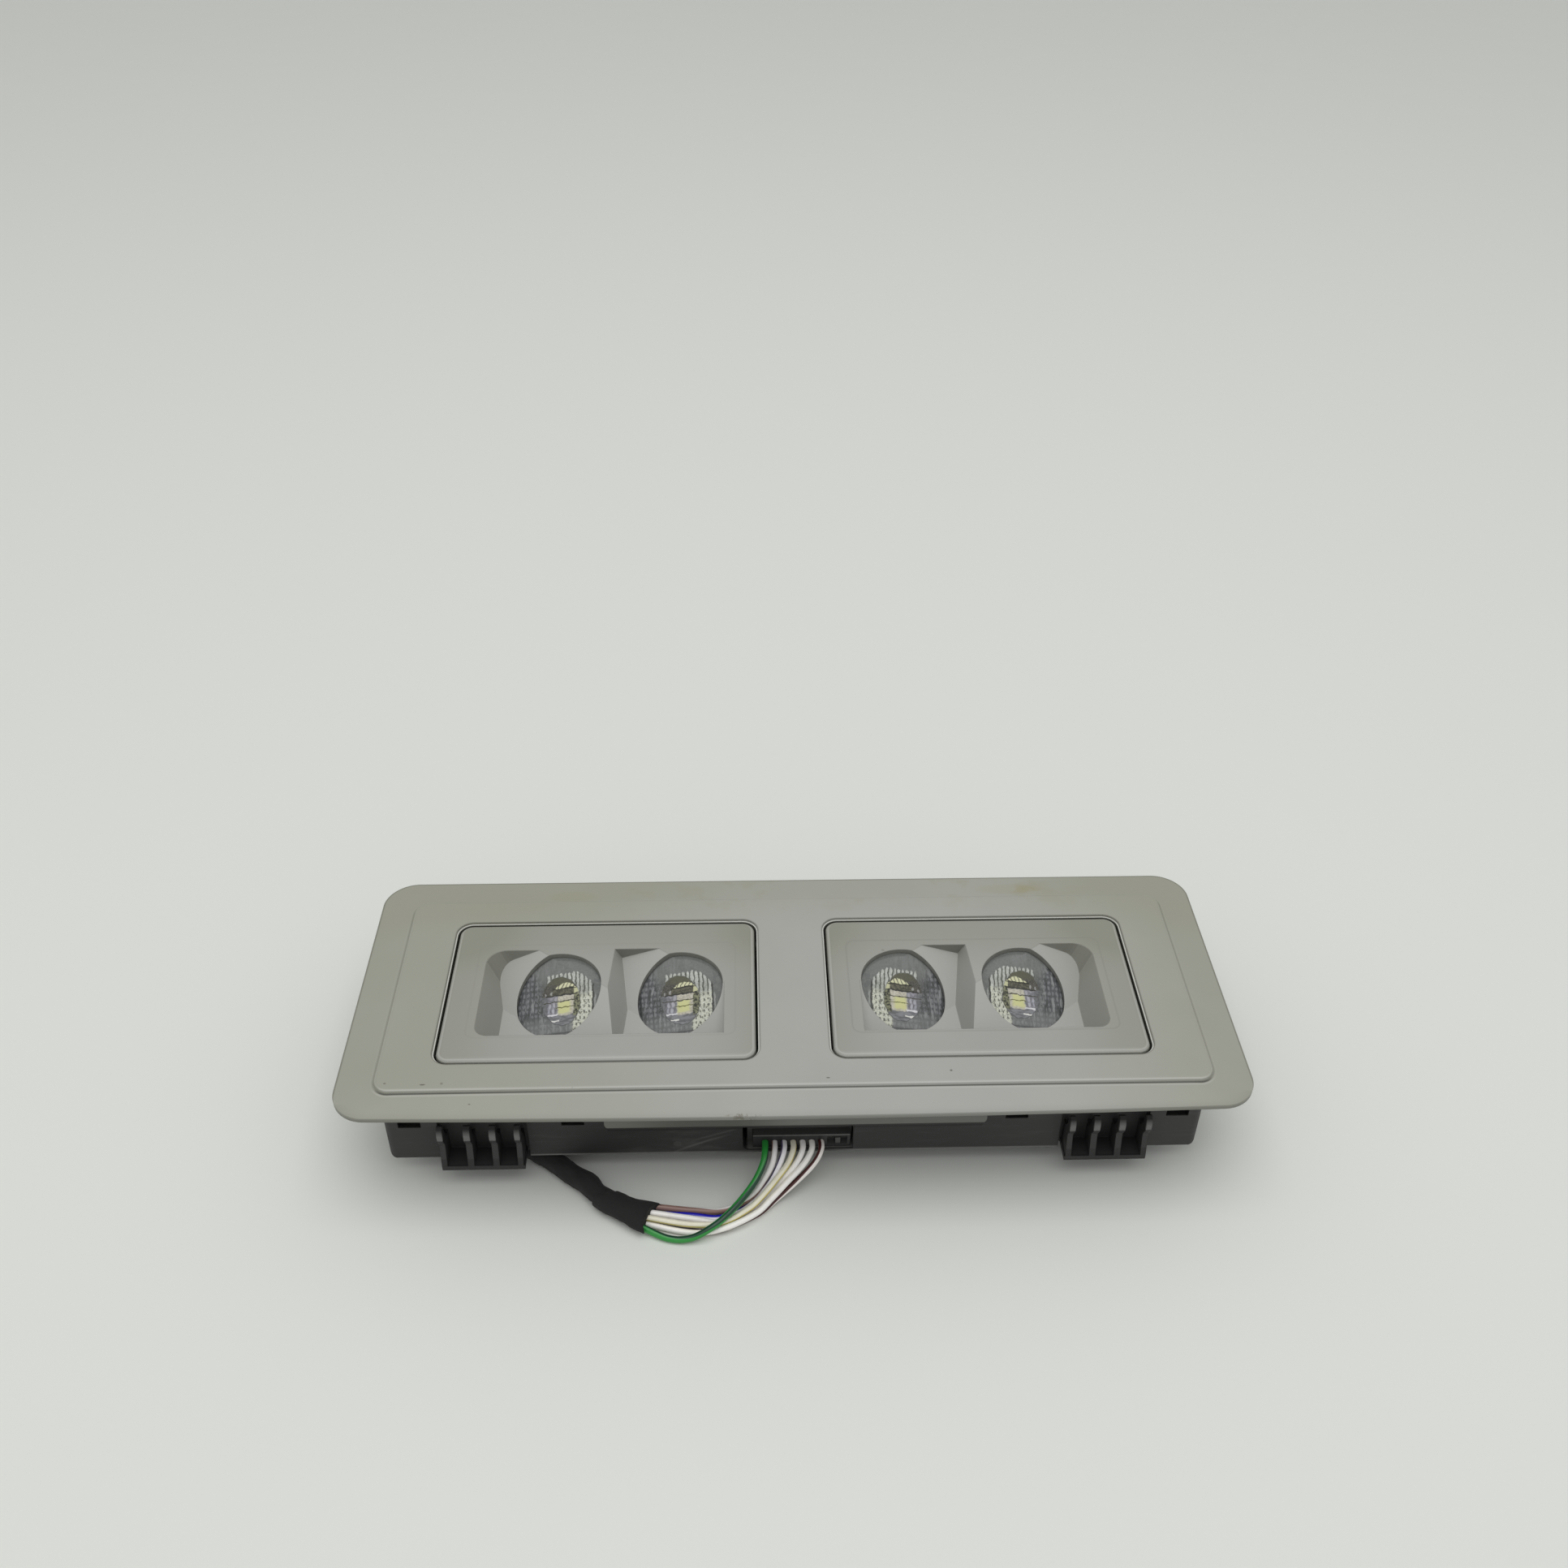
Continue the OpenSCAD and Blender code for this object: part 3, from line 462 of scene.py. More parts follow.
def clip_finish():
    """Black clip plastic, with painted shade under the noses of its fingers, painted highlights on the
    noses, and a recess painted paler to lift its shade.
    """
    f, base = black_moulding("clip_black", tone(27, 27, 27), 0.5, 0.03)
    z = f.z
    out = abs(f.y)
    # painted shade under the noses of the fingers
    base.lay((1 - z.between(19.0, 19.6)) * z.between(15.0, 17.5) * (out > 40.6), tone(20, 20, 20))
    # painted highlight on the noses
    nose = out.between(39.6, 40.5) * z.between(19.5, 20.0) * (1 - z.between(21.4, 23.4))
    base.lay(nose * 0.8, tone(112, 112, 111))
    # painted light: the recess is painted paler, lifting its shade
    deep = (out < 40.4) * z.between(8.6, 9.2) * (1 - z.between(15.0, 22.0) * 0.6)
    base.lay(deep, tone(44, 44, 44))
    f.set("Base Color", base.color)
    return f


def plug_finish():
    """Black plug plastic, painted paler behind its face to lift the recess's shade, with a painted
    highlight on its upper edge.
    """
    f, base = black_moulding("plug_black", tone(34, 34, 35), 0.42, 0.1, 0.2)
    # painted light behind the face, and a painted highlight on its upper edge
    base.lay(f.y > PLUG_FACE, tone(74, 74, 73))
    base.lay((f.y < PLUG_FACE) * f.z.between(13.25, 13.45) * 0.8, tone(104, 104, 103))
    f.set("Base Color", base.color)
    return f


# cords
def points(*places):
    return [Vector(place) * MM for place in places]


def length(line):
    return sum((b - a).length for a, b in zip(line, line[1:]))


def smooth_line(marks, step):
    """A smooth line through marks, with a point about every step."""
    ends = [2 * marks[0] - marks[1], *marks, 2 * marks[-1] - marks[-2]]
    line = []
    for before, start, end, after in zip(ends, ends[1:], ends[2:], ends[3:]):
        count = max(2, round((end - start).length / step))
        bow = 2 * before - 5 * start + 4 * end - after
        sweep = 3 * start - before - 3 * end + after
        for k in range(count):
            t = k / count
            line.append(0.5 * (2 * start + (end - before) * t + bow * t * t + sweep * t**3))
    return line + [marks[-1]]


def tube(name, line, sizes, sides, twist=(0.0, 0.0), shape=None):
    """A closed tube round a line. sizes holds half the width and half the height at each ring.

    twist is where the stripe lies at both ends, in turns: 0 beside, 0.25 on top, 0.5 on the other side.
    shape moves the points, by their angle and how far along they are. The attribute turn tells a
    finish where a point lies from the stripe: its first part is 1 on the stripe and -1 opposite.
    """
    verts, faces, turns = [], [], []
    last = len(line) - 1
    run = 0.0
    for i, centre in enumerate(line):
        ahead = (line[min(i + 1, last)] - line[max(i - 1, 0)]).normalized()
        side = ahead.cross(Vector((0, 0, 1))).normalized()
        over = side.cross(ahead)
        run += (centre - line[i - 1]).length if i else 0.0
        stripe = 2 * math.pi * (twist[0] + (twist[1] - twist[0]) * i / last)
        for k in range(sides):
            angle = 2 * math.pi * k / sides
            out = math.cos(angle) * sizes[i][0] * side + math.sin(angle) * sizes[i][1] * over
            if shape:
                out = shape(angle, run, out, ahead)
            verts.append(centre + out)
            turns += [math.cos(angle - stripe), math.sin(angle - stripe), 0.0]
    for i in range(last):
        for k in range(sides):
            n = (k + 1) % sides
            faces.append((i * sides + k, i * sides + n, (i + 1) * sides + n, (i + 1) * sides + k))
    faces.append(tuple(range(sides - 1, -1, -1)))
    faces.append(tuple(last * sides + k for k in range(sides)))
    mesh = bpy.data.meshes.new(name)
    mesh.from_pydata(verts, [], faces)
    mesh.attributes.new("turn", "FLOAT_VECTOR", "POINT").data.foreach_set("vector", turns)
    for face in mesh.polygons:
        face.use_smooth = len(face.vertices) == 4
    piece = bpy.data.objects.new(name, mesh)
    bpy.context.scene.collection.objects.link(piece)
    return piece


# wires in millimetres: where they leave the plug in one row, and how their tubes are divided
FIRST_WIRE = -8.1
WIRE_PITCH = 2.5
WIRE_HEIGHT = 10.9
WIRE_START = -34.6
STRAIGHT_END = -38.2
WIRE_SIDES = 14
WIRE_STEP = 0.8


def wire_route(place, *marks):
    """Straight out of the plug at a place in its row, and on through marks."""
    x = FIRST_WIRE + place * WIRE_PITCH
    return points((x, WIRE_START, WIRE_HEIGHT), (x, STRAIGHT_END, WIRE_HEIGHT), *marks)


# share is how much of the jacket is stripe, and twist how the stripe turns along it
WIRES = {
    "green": dict(
        route=wire_route(
            0, (-8.7, -41.6, 9.6), (-10.7, -45.2, 7.4), (-13.8, -49.3, 5.9), (-17.6, -53.6, 4.9),
            (-22, -57.2, 3.8), (-27.8, -59.1, 1.6), (-33.8, -58.6, 1), (-41.2, -55.4, 1.9),
        ),
        jacket=tone(44, 142, 60), stripe=tone(14, 62, 42), share=0.24, twist=(0.54, 0.1),
        thick=1.85, soiled=0.1,
    ),
    "taupe": dict(
        route=wire_route(
            1, (-6.3, -41.3, 8.9), (-8.6, -44.1, 5.6), (-11.6, -47, 3.1), (-15.5, -49.4, 2.4),
            (-20.9, -50.3, 1), (-28.5, -49.6, 0.8), (-37.8, -49.2, 2),
        ),
        jacket=tone(232, 230, 228), stripe=tone(142, 112, 104), share=0.55, twist=(0.9, 0.32),
    ),
    "blue": dict(
        route=wire_route(
            2, (-4.3, -41.3, 8.9), (-6.7, -44, 5.2), (-10.2, -46.3, 1.9), (-14.8, -49.8, 0.8),
            (-20.8, -52.3, 0.8), (-28.5, -51.3, 0.8), (-38.5, -50.9, 1.1),
        ),
        jacket=tone(242, 240, 244), stripe=tone(24, 22, 176), share=0.28, twist=(0.02, 0.28),
        near_plug=tone(84, 76, 108),
    ),
    "yellow": dict(
        route=wire_route(
            3, (-2.1, -41.5, 9.2), (-5.3, -44.8, 6.8), (-9.1, -48.2, 4.2), (-12.9, -51.4, 3),
            (-19.8, -55, 2.4), (-28, -55.4, 2.4), (-39.8, -53.1, 2.6),
        ),
        jacket=tone(234, 230, 210), stripe=tone(206, 192, 112), share=0.2, twist=(0.5, 0.56),
    ),
    "white_1": dict(
        route=wire_route(
            4, (0.1, -41.2, 8.9), (-3.7, -43.9, 5.4), (-8.1, -46.8, 2.1), (-12.9, -50.9, 1),
            (-20, -53.7, 0.8), (-28, -52.9, 1.6), (-39, -51.5, 2.6),
        ),
        jacket=tone(247, 245, 242),
    ),
    "white_2": dict(
        route=wire_route(
            5, (2.2, -41.5, 9.1), (-2.2, -45, 6.3), (-6.4, -48.4, 3.8), (-11, -52.4, 2.4),
            (-19.5, -56.5, 1.9), (-28, -56.8, 0.8), (-40.3, -53.8, 1.1),
        ),
        jacket=tone(247, 245, 240), stripe=tone(190, 150, 104), share=0.1, twist=(0.98, 0.6),
    ),
    "brown": dict(
        route=wire_route(
            6, (4.9, -41.3, 8.9), (0.3, -44.1, 5.2), (-5.3, -47.3, 1.9), (-10.6, -51.6, 0.8),
            (-19.5, -55.4, 0.8), (-28, -54.6, 0.8), (-39.5, -52.3, 1.1),
        ),
        jacket=tone(242, 236, 232), stripe=tone(70, 30, 30), share=0.24, twist=(0.1, 0.72),
    ),
}


def wire_finish(name, jacket, stripe, share, near_plug, soiled):
    """Glossy wire jacket with one coloured stripe, greyed here and there.

    near_plug is the stripe's colour towards the plug, where it differs.
    """
    f = Finish(name, jacket, 0.32)
    turn = f.node("Attribute", {"attribute_name": "turn"}, {}, "Vector")
    toward_stripe = f.node("SeparateXYZ", {}, {0: turn}, 0)
    grime = f.cloud(0.6).between(0.45, 0.75)
    base = Coat(f, jacket)
    base.lay(grime * soiled, shade(jacket, 0.8))
    if near_plug:
        stripe = f.mix(f.x.between(-17.0, -11.0), stripe, near_plug)
    if stripe:
        edge = math.cos(math.pi * share)
        base.lay(toward_stripe.between(edge - 0.05, edge + 0.05), stripe)
    f.set("Base Color", base.color)
    f.set("Roughness", 0.3 + grime * 0.15)
    return f


def lay_wire(name, route, jacket, stripe=None, share=0.0, twist=(0.0, 0.0), near_plug=None,
             thick=1.6, soiled=0.16):
    """One wire from the plug to the tape, kept on or above the table."""
    half = thick / 2 * MM
    line = [Vector((p.x, p.y, max(p.z, half))) for p in smooth_line(route, WIRE_STEP * MM)]
    piece = tube("jacket_" + name, line, [(half, half)] * len(line), WIRE_SIDES, twist)
    paint(piece, wire_finish("jacket_" + name, jacket, stripe, share, near_plug, soiled))
    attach(piece, "base")
    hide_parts("wire_" + name)
    length(line)
    thick * MM


# taped bundle in millimetres: its laps are start, end and lift, all measured along it
TAPE = points(
    (-39.4, -53.0, 2.9), (-43.6, -51.2, 3), (-48.4, -48.8, 3.2), (-52.8, -45.5, 3.3),
    (-56.6, -42.0, 3.3), (-60.4, -38.9, 3.3), (-64.6, -35.6, 3.4), (-70, -31.4, 3.5),
    (-77, -25.4, 3.5), (-83.2, -15, 3.5), (-87, -2, 3.5), (-88.6, 12, 3.5), (-88.8, 26, 3.5),
)
TAPE_THICK = 6.4
TAPE_STEP = 0.45
TAPE_SIDES = 64
TAPE_LAPS = (
    (0.0, 12.6, 0.3),
    (12.6, 34.0, -0.05),
    (34.0, 52.0, 0.2),
    (52.0, 74.0, -0.05),
    (74.0, 200.0, 0.15),
)
LAP_SLANT = 2.2
# how far along it is flared, flat, loose on one side and torn
FLARE_END = 5
FLAT_END = 16
LOOSE_END = 20
TORN_END = 2.2
# middle, width and height of the lump near the open end, and of the dip before it
LUMP = (19.5, 2.3, 0.75)
DIP = (15.0, 1.6, -0.45)


def tape_size(run):
    """Half width and half height of the taped bundle: flat and flared at its open end."""
    flare = max(0.0, 1 - run / FLARE_END)
    flat = max(0.0, 1 - run / FLAT_END)
    return ((2.75 + 0.45 * flat + 0.9 * flare**0.8) * MM, (2.9 - 0.8 * flat**1.2) * MM)


def hump(place, middle, width, height):
    """A smooth hump, as high as height at its middle."""
    return height * math.exp(-(((place - middle) / width) ** 2))


def wrap(angle, run, out, ahead):
    """Lifts the tape over its laps, creases and lump, and tears its open end.

    Lifts are in millimetres, and the edge of a lap runs slantwise round the bundle.
    """
    mm = run / MM
    c, s = math.cos(angle), math.sin(angle)
    slant = -LAP_SLANT * c + 0.7 * noise.noise(Vector((c * 1.5, s * 1.5, 3.0)))
    lift = next(height for start, end, height in TAPE_LAPS if start <= max(0.0, mm - slant) < end)
    if mm < LOOSE_END and lift > 0.2:
        lift += 0.45 * max(0.0, -c)
    crease = noise.noise(Vector((mm * 0.22, c * 1.4, s * 1.4))) * 0.35
    crease += noise.noise(Vector((mm * 0.7, c * 3.0, s * 3.0))) * 0.14
    lump = (hump(mm, *LUMP) + hump(mm, *DIP)) * max(0.0, c)
    fray = 0.0
    if mm < TORN_END:
        rag = noise.noise(Vector((c * 5, s * 5, 7.0))) * 0.8
        rag += noise.noise(Vector((c * 14, s * 14, 2.0))) * 0.5
        fray = (rag + abs(c) ** 6 * 1.5) * (1 - mm / TORN_END)
    return out * (1 + (lift + crease + lump) / (TAPE_THICK / 2)) - ahead * fray * MM


def cloth_tape():
    """Black cloth tape with its weave and a little lint."""
    f = Finish("cloth_tape", tone(24, 24, 24), 0.9, Sheen_Weight=0.03)
    weave = f.cloud(5.5, 2, 0.7)
    lint = f.cloud(1.2, 4, 0.7).between(0.6, 0.85)
    base = Coat(f, f.mix(weave.between(0.35, 0.65), tone(18, 18, 18), tone(27, 27, 27)))
    base.lay(lint * 0.2, tone(56, 55, 53))
    f.set("Base Color", base.color)
    f.bump(weave, 0.5, 0.3)
    return f


def wind_tape():
    """Cloth tape wound round the bundle: laps with raised edges, creases and a torn end."""
    line = smooth_line(TAPE, TAPE_STEP * MM)
    sizes = [tape_size(length(line[: i + 1]) / MM) for i in range(len(line))]
    piece = tube("tape_wrap", line, sizes, TAPE_SIDES, shape=wrap)
    paint(piece, cloth_tape())
    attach(piece, "base")
    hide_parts("harness_tape")
    length(line)


for name, wire in WIRES.items():
    lay_wire(name, **wire)
wind_tape()


# finishes of the board and its parts
def board_finish():
    """Green board with paler traces."""
    f = Finish("board_green", tone(30, 84, 54), 0.35)
    traces = ((f.x * 0.35).fract() < 0.18).most((f.y * 0.3).fract() < 0.16)
    f.set("Base Color", f.mix(traces * 0.5, tone(28, 82, 52), tone(40, 104, 66)))
    return f


def plain_metal(name, color, rough):
    f = Finish(name, color, rough, Metallic=1.0)
    f.set("Roughness", rough + f.cloud(1.5) * 0.15)
    return f


def phosphor():
    """Pale diode with a round yellow patch that glows a little."""
    f = Finish("phosphor", tone(232, 226, 120), 0.6, Emission_Strength=0.6)
    from_diode = reach(abs(abs(f.x) - BETWEEN_LENSES) - LENS_PITCH / 2, f.y - LENS_MIDDLE)
    disc = 1 - from_diode.between(1.25, 1.35)
    f.set("Base Color", f.mix(disc, tone(226, 226, 220), tone(236, 228, 110)))
    f.set("Emission Color", f.mix(disc, tone(0, 0, 0), tone(236, 232, 150)))
    return f


# what shows in a lens, in millimetres: painted glints in the collimator as a, w, size and tone, and the
# lines across the diode as their low and high edge on w, their ends on a, and tone
PAINTED_GLINTS = (
    (2.9, 1.4, 0.32, tone(160, 160, 160)),
    (4.5, 1.1, 0.3, tone(150, 150, 150)),
    (5.0, 4.2, 0.3, tone(190, 190, 186)),
    (2.0, -2.0, 0.42, tone(176, 176, 184)),
    (3.2, -2.2, 0.4, tone(170, 170, 180)),
    (2.2, -3.6, 0.42, tone(178, 178, 188)),
    (3.4, -3.5, 0.36, tone(160, 160, 172)),
    (1.6, -0.4, 0.4, tone(166, 166, 172)),
    (2.9, 0.1, 0.36, tone(150, 150, 158)),
)
DIODE_LINES = (
    (2.13, 2.47, -3.7, 2.8, tone(40, 40, 30)),
    (0.38, 0.77, -4.6, 4.6, tone(42, 42, 36)),
    (-1.3, -1.0, -4.0, 5.1, tone(60, 60, 50)),
    (-2.93, -2.67, -3.7, 1.5, tone(96, 96, 50)),
    (-4.92, -4.48, 0.8, 3.8, tone(216, 216, 220)),
    (-6.58, -6.18, 0.2, 3.1, tone(226, 226, 222)),
)
PILLOW_WIDTH = 1.2
PILLOW_HEIGHT = 1.52
PILLOW_OFFSET = (7.6, 1.95)
COLUMN_LEAN = 0.06
ROW_SLOPE = 0.082
COLLIMATOR_HALF = (5.5, 6.75)
COLLIMATOR_DROP = 1.05
COLLIMATOR_LEAN = 0.15
PATTERN_PITCH = 33.2


def wave(count):
    """0 at whole numbers and 1 halfway between them."""
    return abs((count + 0.5).fract() - 0.5) * 2


class LensFinish(Finish):
    """The lens as it looks from outside, painted on its face with the light and shade seen through the
    clear plastic: rows of small pillows over a collimator with its diode.

    a runs outward from the middle of a lens and b towards the rear, in millimetres on its face.
    w is b along the diode's own rows. ring is 1 on the collimator's edge. rib and row are 0 in the
    gaps between the pillows and 1 along their middles, and broken is where the clear body is broken up.
    """

    def __init__(self):
        super().__init__("lens_face", tone(120, 122, 124), 0.14, Coat_Weight=0.5, Coat_Roughness=0.05)
        self.side = abs(self.x)
        self.outer = self.side > BETWEEN_LENSES
        sway = self.cloud(0.7) - 0.5
        jolt = self.cloud(0.8, 2, shift=(3.1, 7.7, 1.3)) - 0.5
        self.a = self.side - INNER_LENS - self.outer * PATTERN_PITCH + sway
        self.b = self.y - LENS_MIDDLE
        self.w = self.b - self.a * ROW_SLOPE + jolt * 0.9
        raised = self.w + COLLIMATOR_DROP
        aside = self.a - raised * COLLIMATOR_LEAN
        self.ring = reach(aside / COLLIMATOR_HALF[0], raised / COLLIMATOR_HALF[1])
        self.rib = wave((self.a - (self.w - 3.2) * COLUMN_LEAN + PILLOW_OFFSET[0]) / PILLOW_WIDTH)
        self.row = wave((self.w + PILLOW_OFFSET[1]) / PILLOW_HEIGHT)
        self.grain = self.cloud(1.5, 3, 0.7)
        self.speck = self.cloud(2.6, 2, 0.8)
        self.upright = self.cloud(0.75, 2, 0.65, (1.5, 0.22, 0.22))
        self.level = self.cloud(0.75, 2, 0.65, (0.25, 1.6, 1.6))
        slanting = ((self.a - self.w * 0.55) / 6.0).between(0.35, 1.0)
        self.broken = slanting.most((-self.w).between(5.5, 8.0))


def clear_body(f):
    """Smooth towards the middle and rear, broken up outward and low."""
    a, w, upright = f.a, f.w, f.upright
    low = -w
    cells = Coat(f, f.mix((f.rib * f.row).between(0.1, 0.5), tone(78, 80, 82), tone(116, 118, 121)))
    cells.lay(upright.between(0.54, 0.64) * 0.8, tone(142, 144, 145))
    cells.lay((1 - upright.between(0.36, 0.46)) * 0.9, tone(56, 59, 59))
    cells.lay(f.level.between(0.58, 0.7) * low.between(4.0, 7.5) * 0.5, tone(142, 144, 146))
    cells.lay(f.speck.between(0.62, 0.72) * 0.4, tone(150, 155, 158))
    cells.lay(low.between(3.5, 7.5) * 0.5, tone(136, 139, 137))
    base = Coat(f, f.mix(f.grain.between(0.35, 0.65), tone(104, 107, 105), tone(113, 116, 112)))
    base.lay(f.broken, cells.color)
    veil = strip(a, -2.0, 9.0, 1.5) * strip(w, 6.6, 11.0, 0.8)
    base.lay(veil * upright.between(0.45, 0.6) * 0.45, tone(128, 130, 130))
    base.lay((a < -9.2) * f.cloud(0.8, 2).between(0.4, 0.6) * 0.6, tone(92, 95, 95))
    return base


def refracted_teeth(f):
    """Painted refracted light of the teeth, with the dark gaps that part and break them."""
    a, w, grain, speck = f.a, f.w, f.grain, f.speck
    upper = w.between(-0.5, 0.8)
    rows = (1 - (f.row + speck - 0.5).between(0.3, 0.75)) * 0.95
    gap = (1 - f.rib.between(0.18, 0.5)) * upper.most(rows)
    gap = gap.most((1 - speck.between(0.36, 0.42)) * strip(w, -9.0, 0.5, 0.5) * 0.7)
    torn = f.cloud(0.95, 3, 0.75)
    gap = gap.most((1 - torn.between(0.38, 0.46)) * (1 - upper * 0.6) * 0.85)
    teeth_light = Coat(f, f.mix(upper, tone(218, 221, 209), tone(180, 184, 177)))
    teeth_light.lay(grain.between(0.45, 0.7) * upper * 0.5, tone(214, 217, 212))
    teeth_light.lay(grain.between(0.35, 0.6) * (1 - upper) * 0.4, tone(178, 180, 150))
    dull = strip(a, -7.6, -5.0, 0.5) * strip(w, -1.0, 3.0, 0.6) * speck.between(0.35, 0.6)
    teeth_light.lay(dull * 0.6, tone(140, 143, 132))
    teeth_light.lay(gap, tone(82, 84, 76))
    return teeth_light


def lay_teeth(f, base):
    """Painted refracted light: bright teeth round the inward side of the collimator, and a broken halo on
    its outward side.
    """
    a, w = f.a, f.w
    bend = (-3.4 - a).most(0.0)
    top = 6.7 - bend * bend * 0.143 - (1 - f.rib) * 0.55
    limit = w.between(2.4, 3.4) * 8.0 - 3.4
    teeth = (1 - (w - top).between(-0.2, 0.1)) * (1 - (a - limit).between(-0.7, 0.3))
    teeth = teeth * a.between(-9.05, -8.85) * f.ring.between(1.0, 1.03)
    halo = strip(f.ring, 0.98, 1.3, 0.06) * strip(a, 1.2, 8.0, 1.5) * strip(w, -4.5, 5.0, 1.2)
    base.lay(halo * f.grain.between(0.3, 0.6) * 0.6, tone(70, 72, 71))
    base.lay(halo * f.speck.between(0.6, 0.68) * 0.6, tone(160, 163, 160))
    base.lay(teeth * (0.72 + f.grain * 0.4).least(1.0), refracted_teeth(f).color)
    end = a + 9.2 - (w + 2.6) * 0.042
    base.lay(strip(end, -0.2, 0.2, 0.08) * strip(w, -8.0, 2.4, 0.6), tone(56, 58, 53))
    base.lay(strip(end, -0.8, -0.4, 0.12) * strip(w, -4.6, -0.6, 0.8) * 0.7, tone(164, 166, 162))


def collimator(f):
    """Inside of the collimator: a dark crown with pale blobs of painted refracted light over the diode
    with its yellow patch, and painted glints.
    """
    a, w, grain = f.a, f.w, f.grain
    coarse = grain.between(0.4, 0.6)
    inside = Coat(f, f.mix(f.rib * 0.5 + f.row * 0.5, tone(98, 99, 104), tone(146, 146, 154)))
    inside.lay(a.between(2.8, 5.2) * 0.8, f.mix(coarse, tone(74, 76, 77), tone(108, 110, 110)))
    inside.lay(w.between(0.4, 0.9), f.mix(f.speck.between(0.4, 0.6), tone(56, 55, 50), tone(90, 89, 80)))
    dome = w.between(3.2, 4.0) * (1 - a.between(1.5, 3.5) * 0.5)
    inside.lay(dome, f.mix(grain, tone(70, 71, 56), tone(98, 98, 80)))
    band = strip(a, -3.8, 3.2, 0.5) * strip(w, 0.7, 2.1, 0.1)
    inside.lay(band, f.mix(coarse, tone(62, 61, 50), tone(100, 98, 82)))
    floor = f.mix(f.level.between(0.4, 0.6), tone(98, 100, 102), tone(132, 134, 138))
    inside.lay((-w).between(4.9, 5.5), floor)
    flank = strip(a, -5.6, -3.6, 0.2) * strip(w, -5.6, 0.6, 0.3)
    inside.lay(flank, f.mix(grain.between(0.42, 0.58), tone(46, 48, 38), tone(130, 132, 104)))
    # pale blobs of painted refracted light under the crown
    crown = 3.95 - (a + 1.0) * (a + 1.0) * 0.16
    slant = abs(((a + w * 0.45) / 1.12).fract() - 0.5)
    blobs = strip(a, -4.3, 2.1, 0.15) * (w > 2.3) * (1 - (w - crown).between(-0.25, 0.05))
    inside.lay(blobs * (1 - slant.between(0.28, 0.44) * 0.9), tone(210, 211, 174))
    inside.lay(strip(a, -5.1, -3.6, 0.15) * strip(w, 0.75, 2.05, 0.2) * 0.9, tone(198, 200, 160))
    # diode, with the glow of its patch
    below = (a + 1.3) * (a + 1.3) * 0.09 - w - 4.2
    diode = strip(a, -3.65, 0.95, 0.2) * strip(w, -5.15, 0.35, 0.15) * (1 - below.between(0.9, 1.3))
    pale = f.mix(grain.between(0.35, 0.6), tone(166, 163, 148), tone(196, 193, 178))
    glow = strip(a, -2.7, 0.75, 0.7) * strip(w, -4.5, -1.2, 0.35)
    inside.lay(diode, f.mix(glow, pale, tone(204, 205, 148)))
    for across, high, size, color in PAINTED_GLINTS:
        away = reach(a - across, (w - high) * 0.6) / size
        inside.lay((1 - away.between(0.7, 1.2)) * 0.85, color)
    for low, high, left, right, color in DIODE_LINES:
        inside.lay(strip(w, low, high, 0.09) * strip(a, left, right, 0.2), color)
    return inside


def lens_face():
    """The whole look of a lens, with a painted shadow line where it meets its seat, strongest outward."""
    f = LensFinish()
    base = clear_body(f)
    lay_teeth(f, base)
    base.lay(1 - f.ring.between(0.985, 1.005), collimator(f).color)
    base.lay(strip(f.ring, 0.985, 1.02, 0.012) * (-f.w).between(2.0, 5.0) * 0.6, tone(70, 72, 72))
    foot = strip(f.b - f.a * 0.11, -10.1, -9.6, 0.12) * strip(f.a, -4.4, 8.0, 0.6)
    base.lay(foot * 0.75, tone(66, 68, 68))
    from_middle = reach(f.side - INNER_LENS - f.outer * LENS_PITCH, f.b)
    # painted shadow where the lens meets its seat
    seat = from_middle.between(11.55, 11.8) * (0.2 + f.a.between(-2.0, 4.0) * 0.45)
    base.lay(seat, tone(60, 62, 59))
    f.set("Base Color", base.color)
    f.bump(f.rib * f.row * f.broken, 0.2, 0.3)
    return f


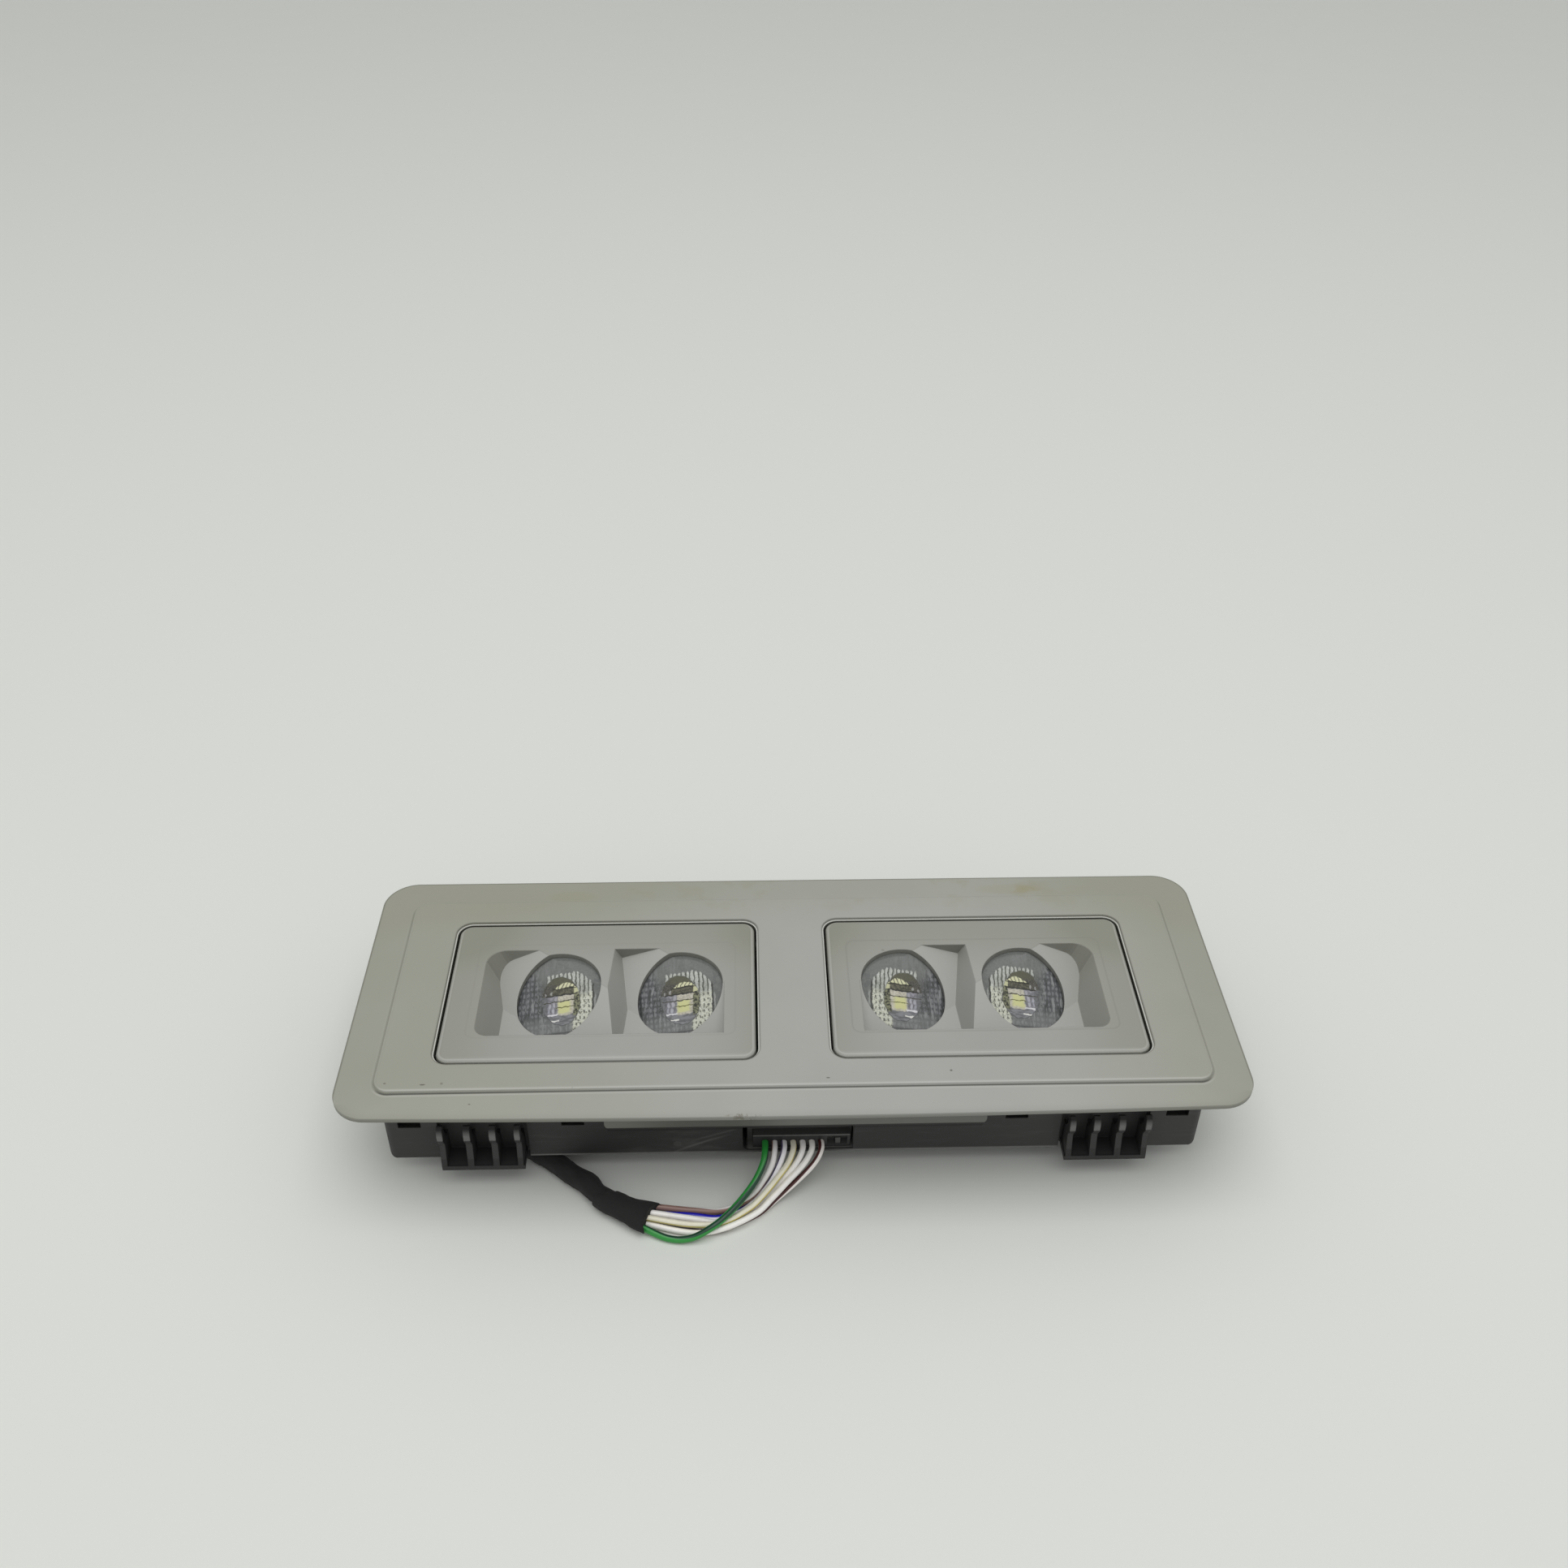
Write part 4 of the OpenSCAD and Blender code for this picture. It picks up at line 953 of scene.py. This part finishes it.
def paint_nodes():
    """Gives each CAD node that keeps its shape the finish of the first row that its name starts with."""
    panel_grey = panel_finish()
    housing_black = housing_finish()
    plug_black = plug_finish()
    switch_black = black_moulding("switch_black", tone(30, 30, 31), 0.5, 0.0)[0]
    rows = (
        ("bezel", bezel_finish()),
        ("lens_panel", panel_grey),
        ("lens", lens_face()),
        ("led", phosphor()),
        ("switch_body", switch_black),
        ("switch_plunger", panel_grey),
        ("circuit_board", board_finish()),
        ("driver_chip", switch_black),
        ("capacitor", plain_metal("can_metal", tone(170, 171, 174), 0.3)),
        ("board_connector", plug_black),
        ("contact_pins", plain_metal("pin_metal", tone(200, 176, 110), 0.3)),
        ("housing", housing_black),
        ("back_cover", housing_black),
        ("clip", clip_finish()),
        ("board_screws", plain_metal("screw_metal", tone(180, 181, 183), 0.35)),
        ("cover_screws", plain_metal("cover_screw_metal", tone(176, 177, 180), 0.35)),
        ("plug", plug_black),
    )
    for name, node in nodes.items():
        finish = next((finish for start, finish in rows if name.startswith(start)), None)
        if finish:
            paint(node, finish)


paint_nodes()


# table and light, in metres and watts
TABLE_SIDE = 6
TABLE_MIDDLE = (0, 1.2, 0)
LAMP_PLACE = (0.0, -0.2, 1.4)
LAMP_SIDE = 1.25
LAMP_POWER = 8.6
ROOM_COLOR = (1.0, 0.995, 0.985, 1)
ROOM_STRENGTH = 0.62


def table_top():
    bpy.ops.object.select_all(action="DESELECT")
    bpy.ops.mesh.primitive_plane_add(size=TABLE_SIDE, location=TABLE_MIDDLE)
    top = bpy.context.object
    top.name = "table_top"
    bpy.ops.object.transform_apply(location=True)
    f = Finish("table_paint", tone(219, 222, 217), 0.6)
    f.set("Roughness", 0.5 + f.cloud(0.02) * 0.2)
    paint(top, f)


def soft_light():
    world = bpy.data.worlds.new("soft_room")
    bpy.context.scene.world = world
    world.use_nodes = True
    room = world.node_tree.nodes["Background"]
    room.inputs["Color"].default_value = ROOM_COLOR
    room.inputs["Strength"].default_value = ROOM_STRENGTH
    data = bpy.data.lights.new("ceiling_lamp", "AREA")
    data.shape = "SQUARE"
    data.size = LAMP_SIDE
    data.energy = LAMP_POWER
    lamp = bpy.data.objects.new("ceiling_lamp", data)
    bpy.context.scene.collection.objects.link(lamp)
    lamp.location = LAMP_PLACE
    lamp.rotation_euler = (-Vector(LAMP_PLACE)).to_track_quat("-Z", "Y").to_euler()


table_top()
soft_light()
bpy.context.scene.view_settings.view_transform = "Standard"
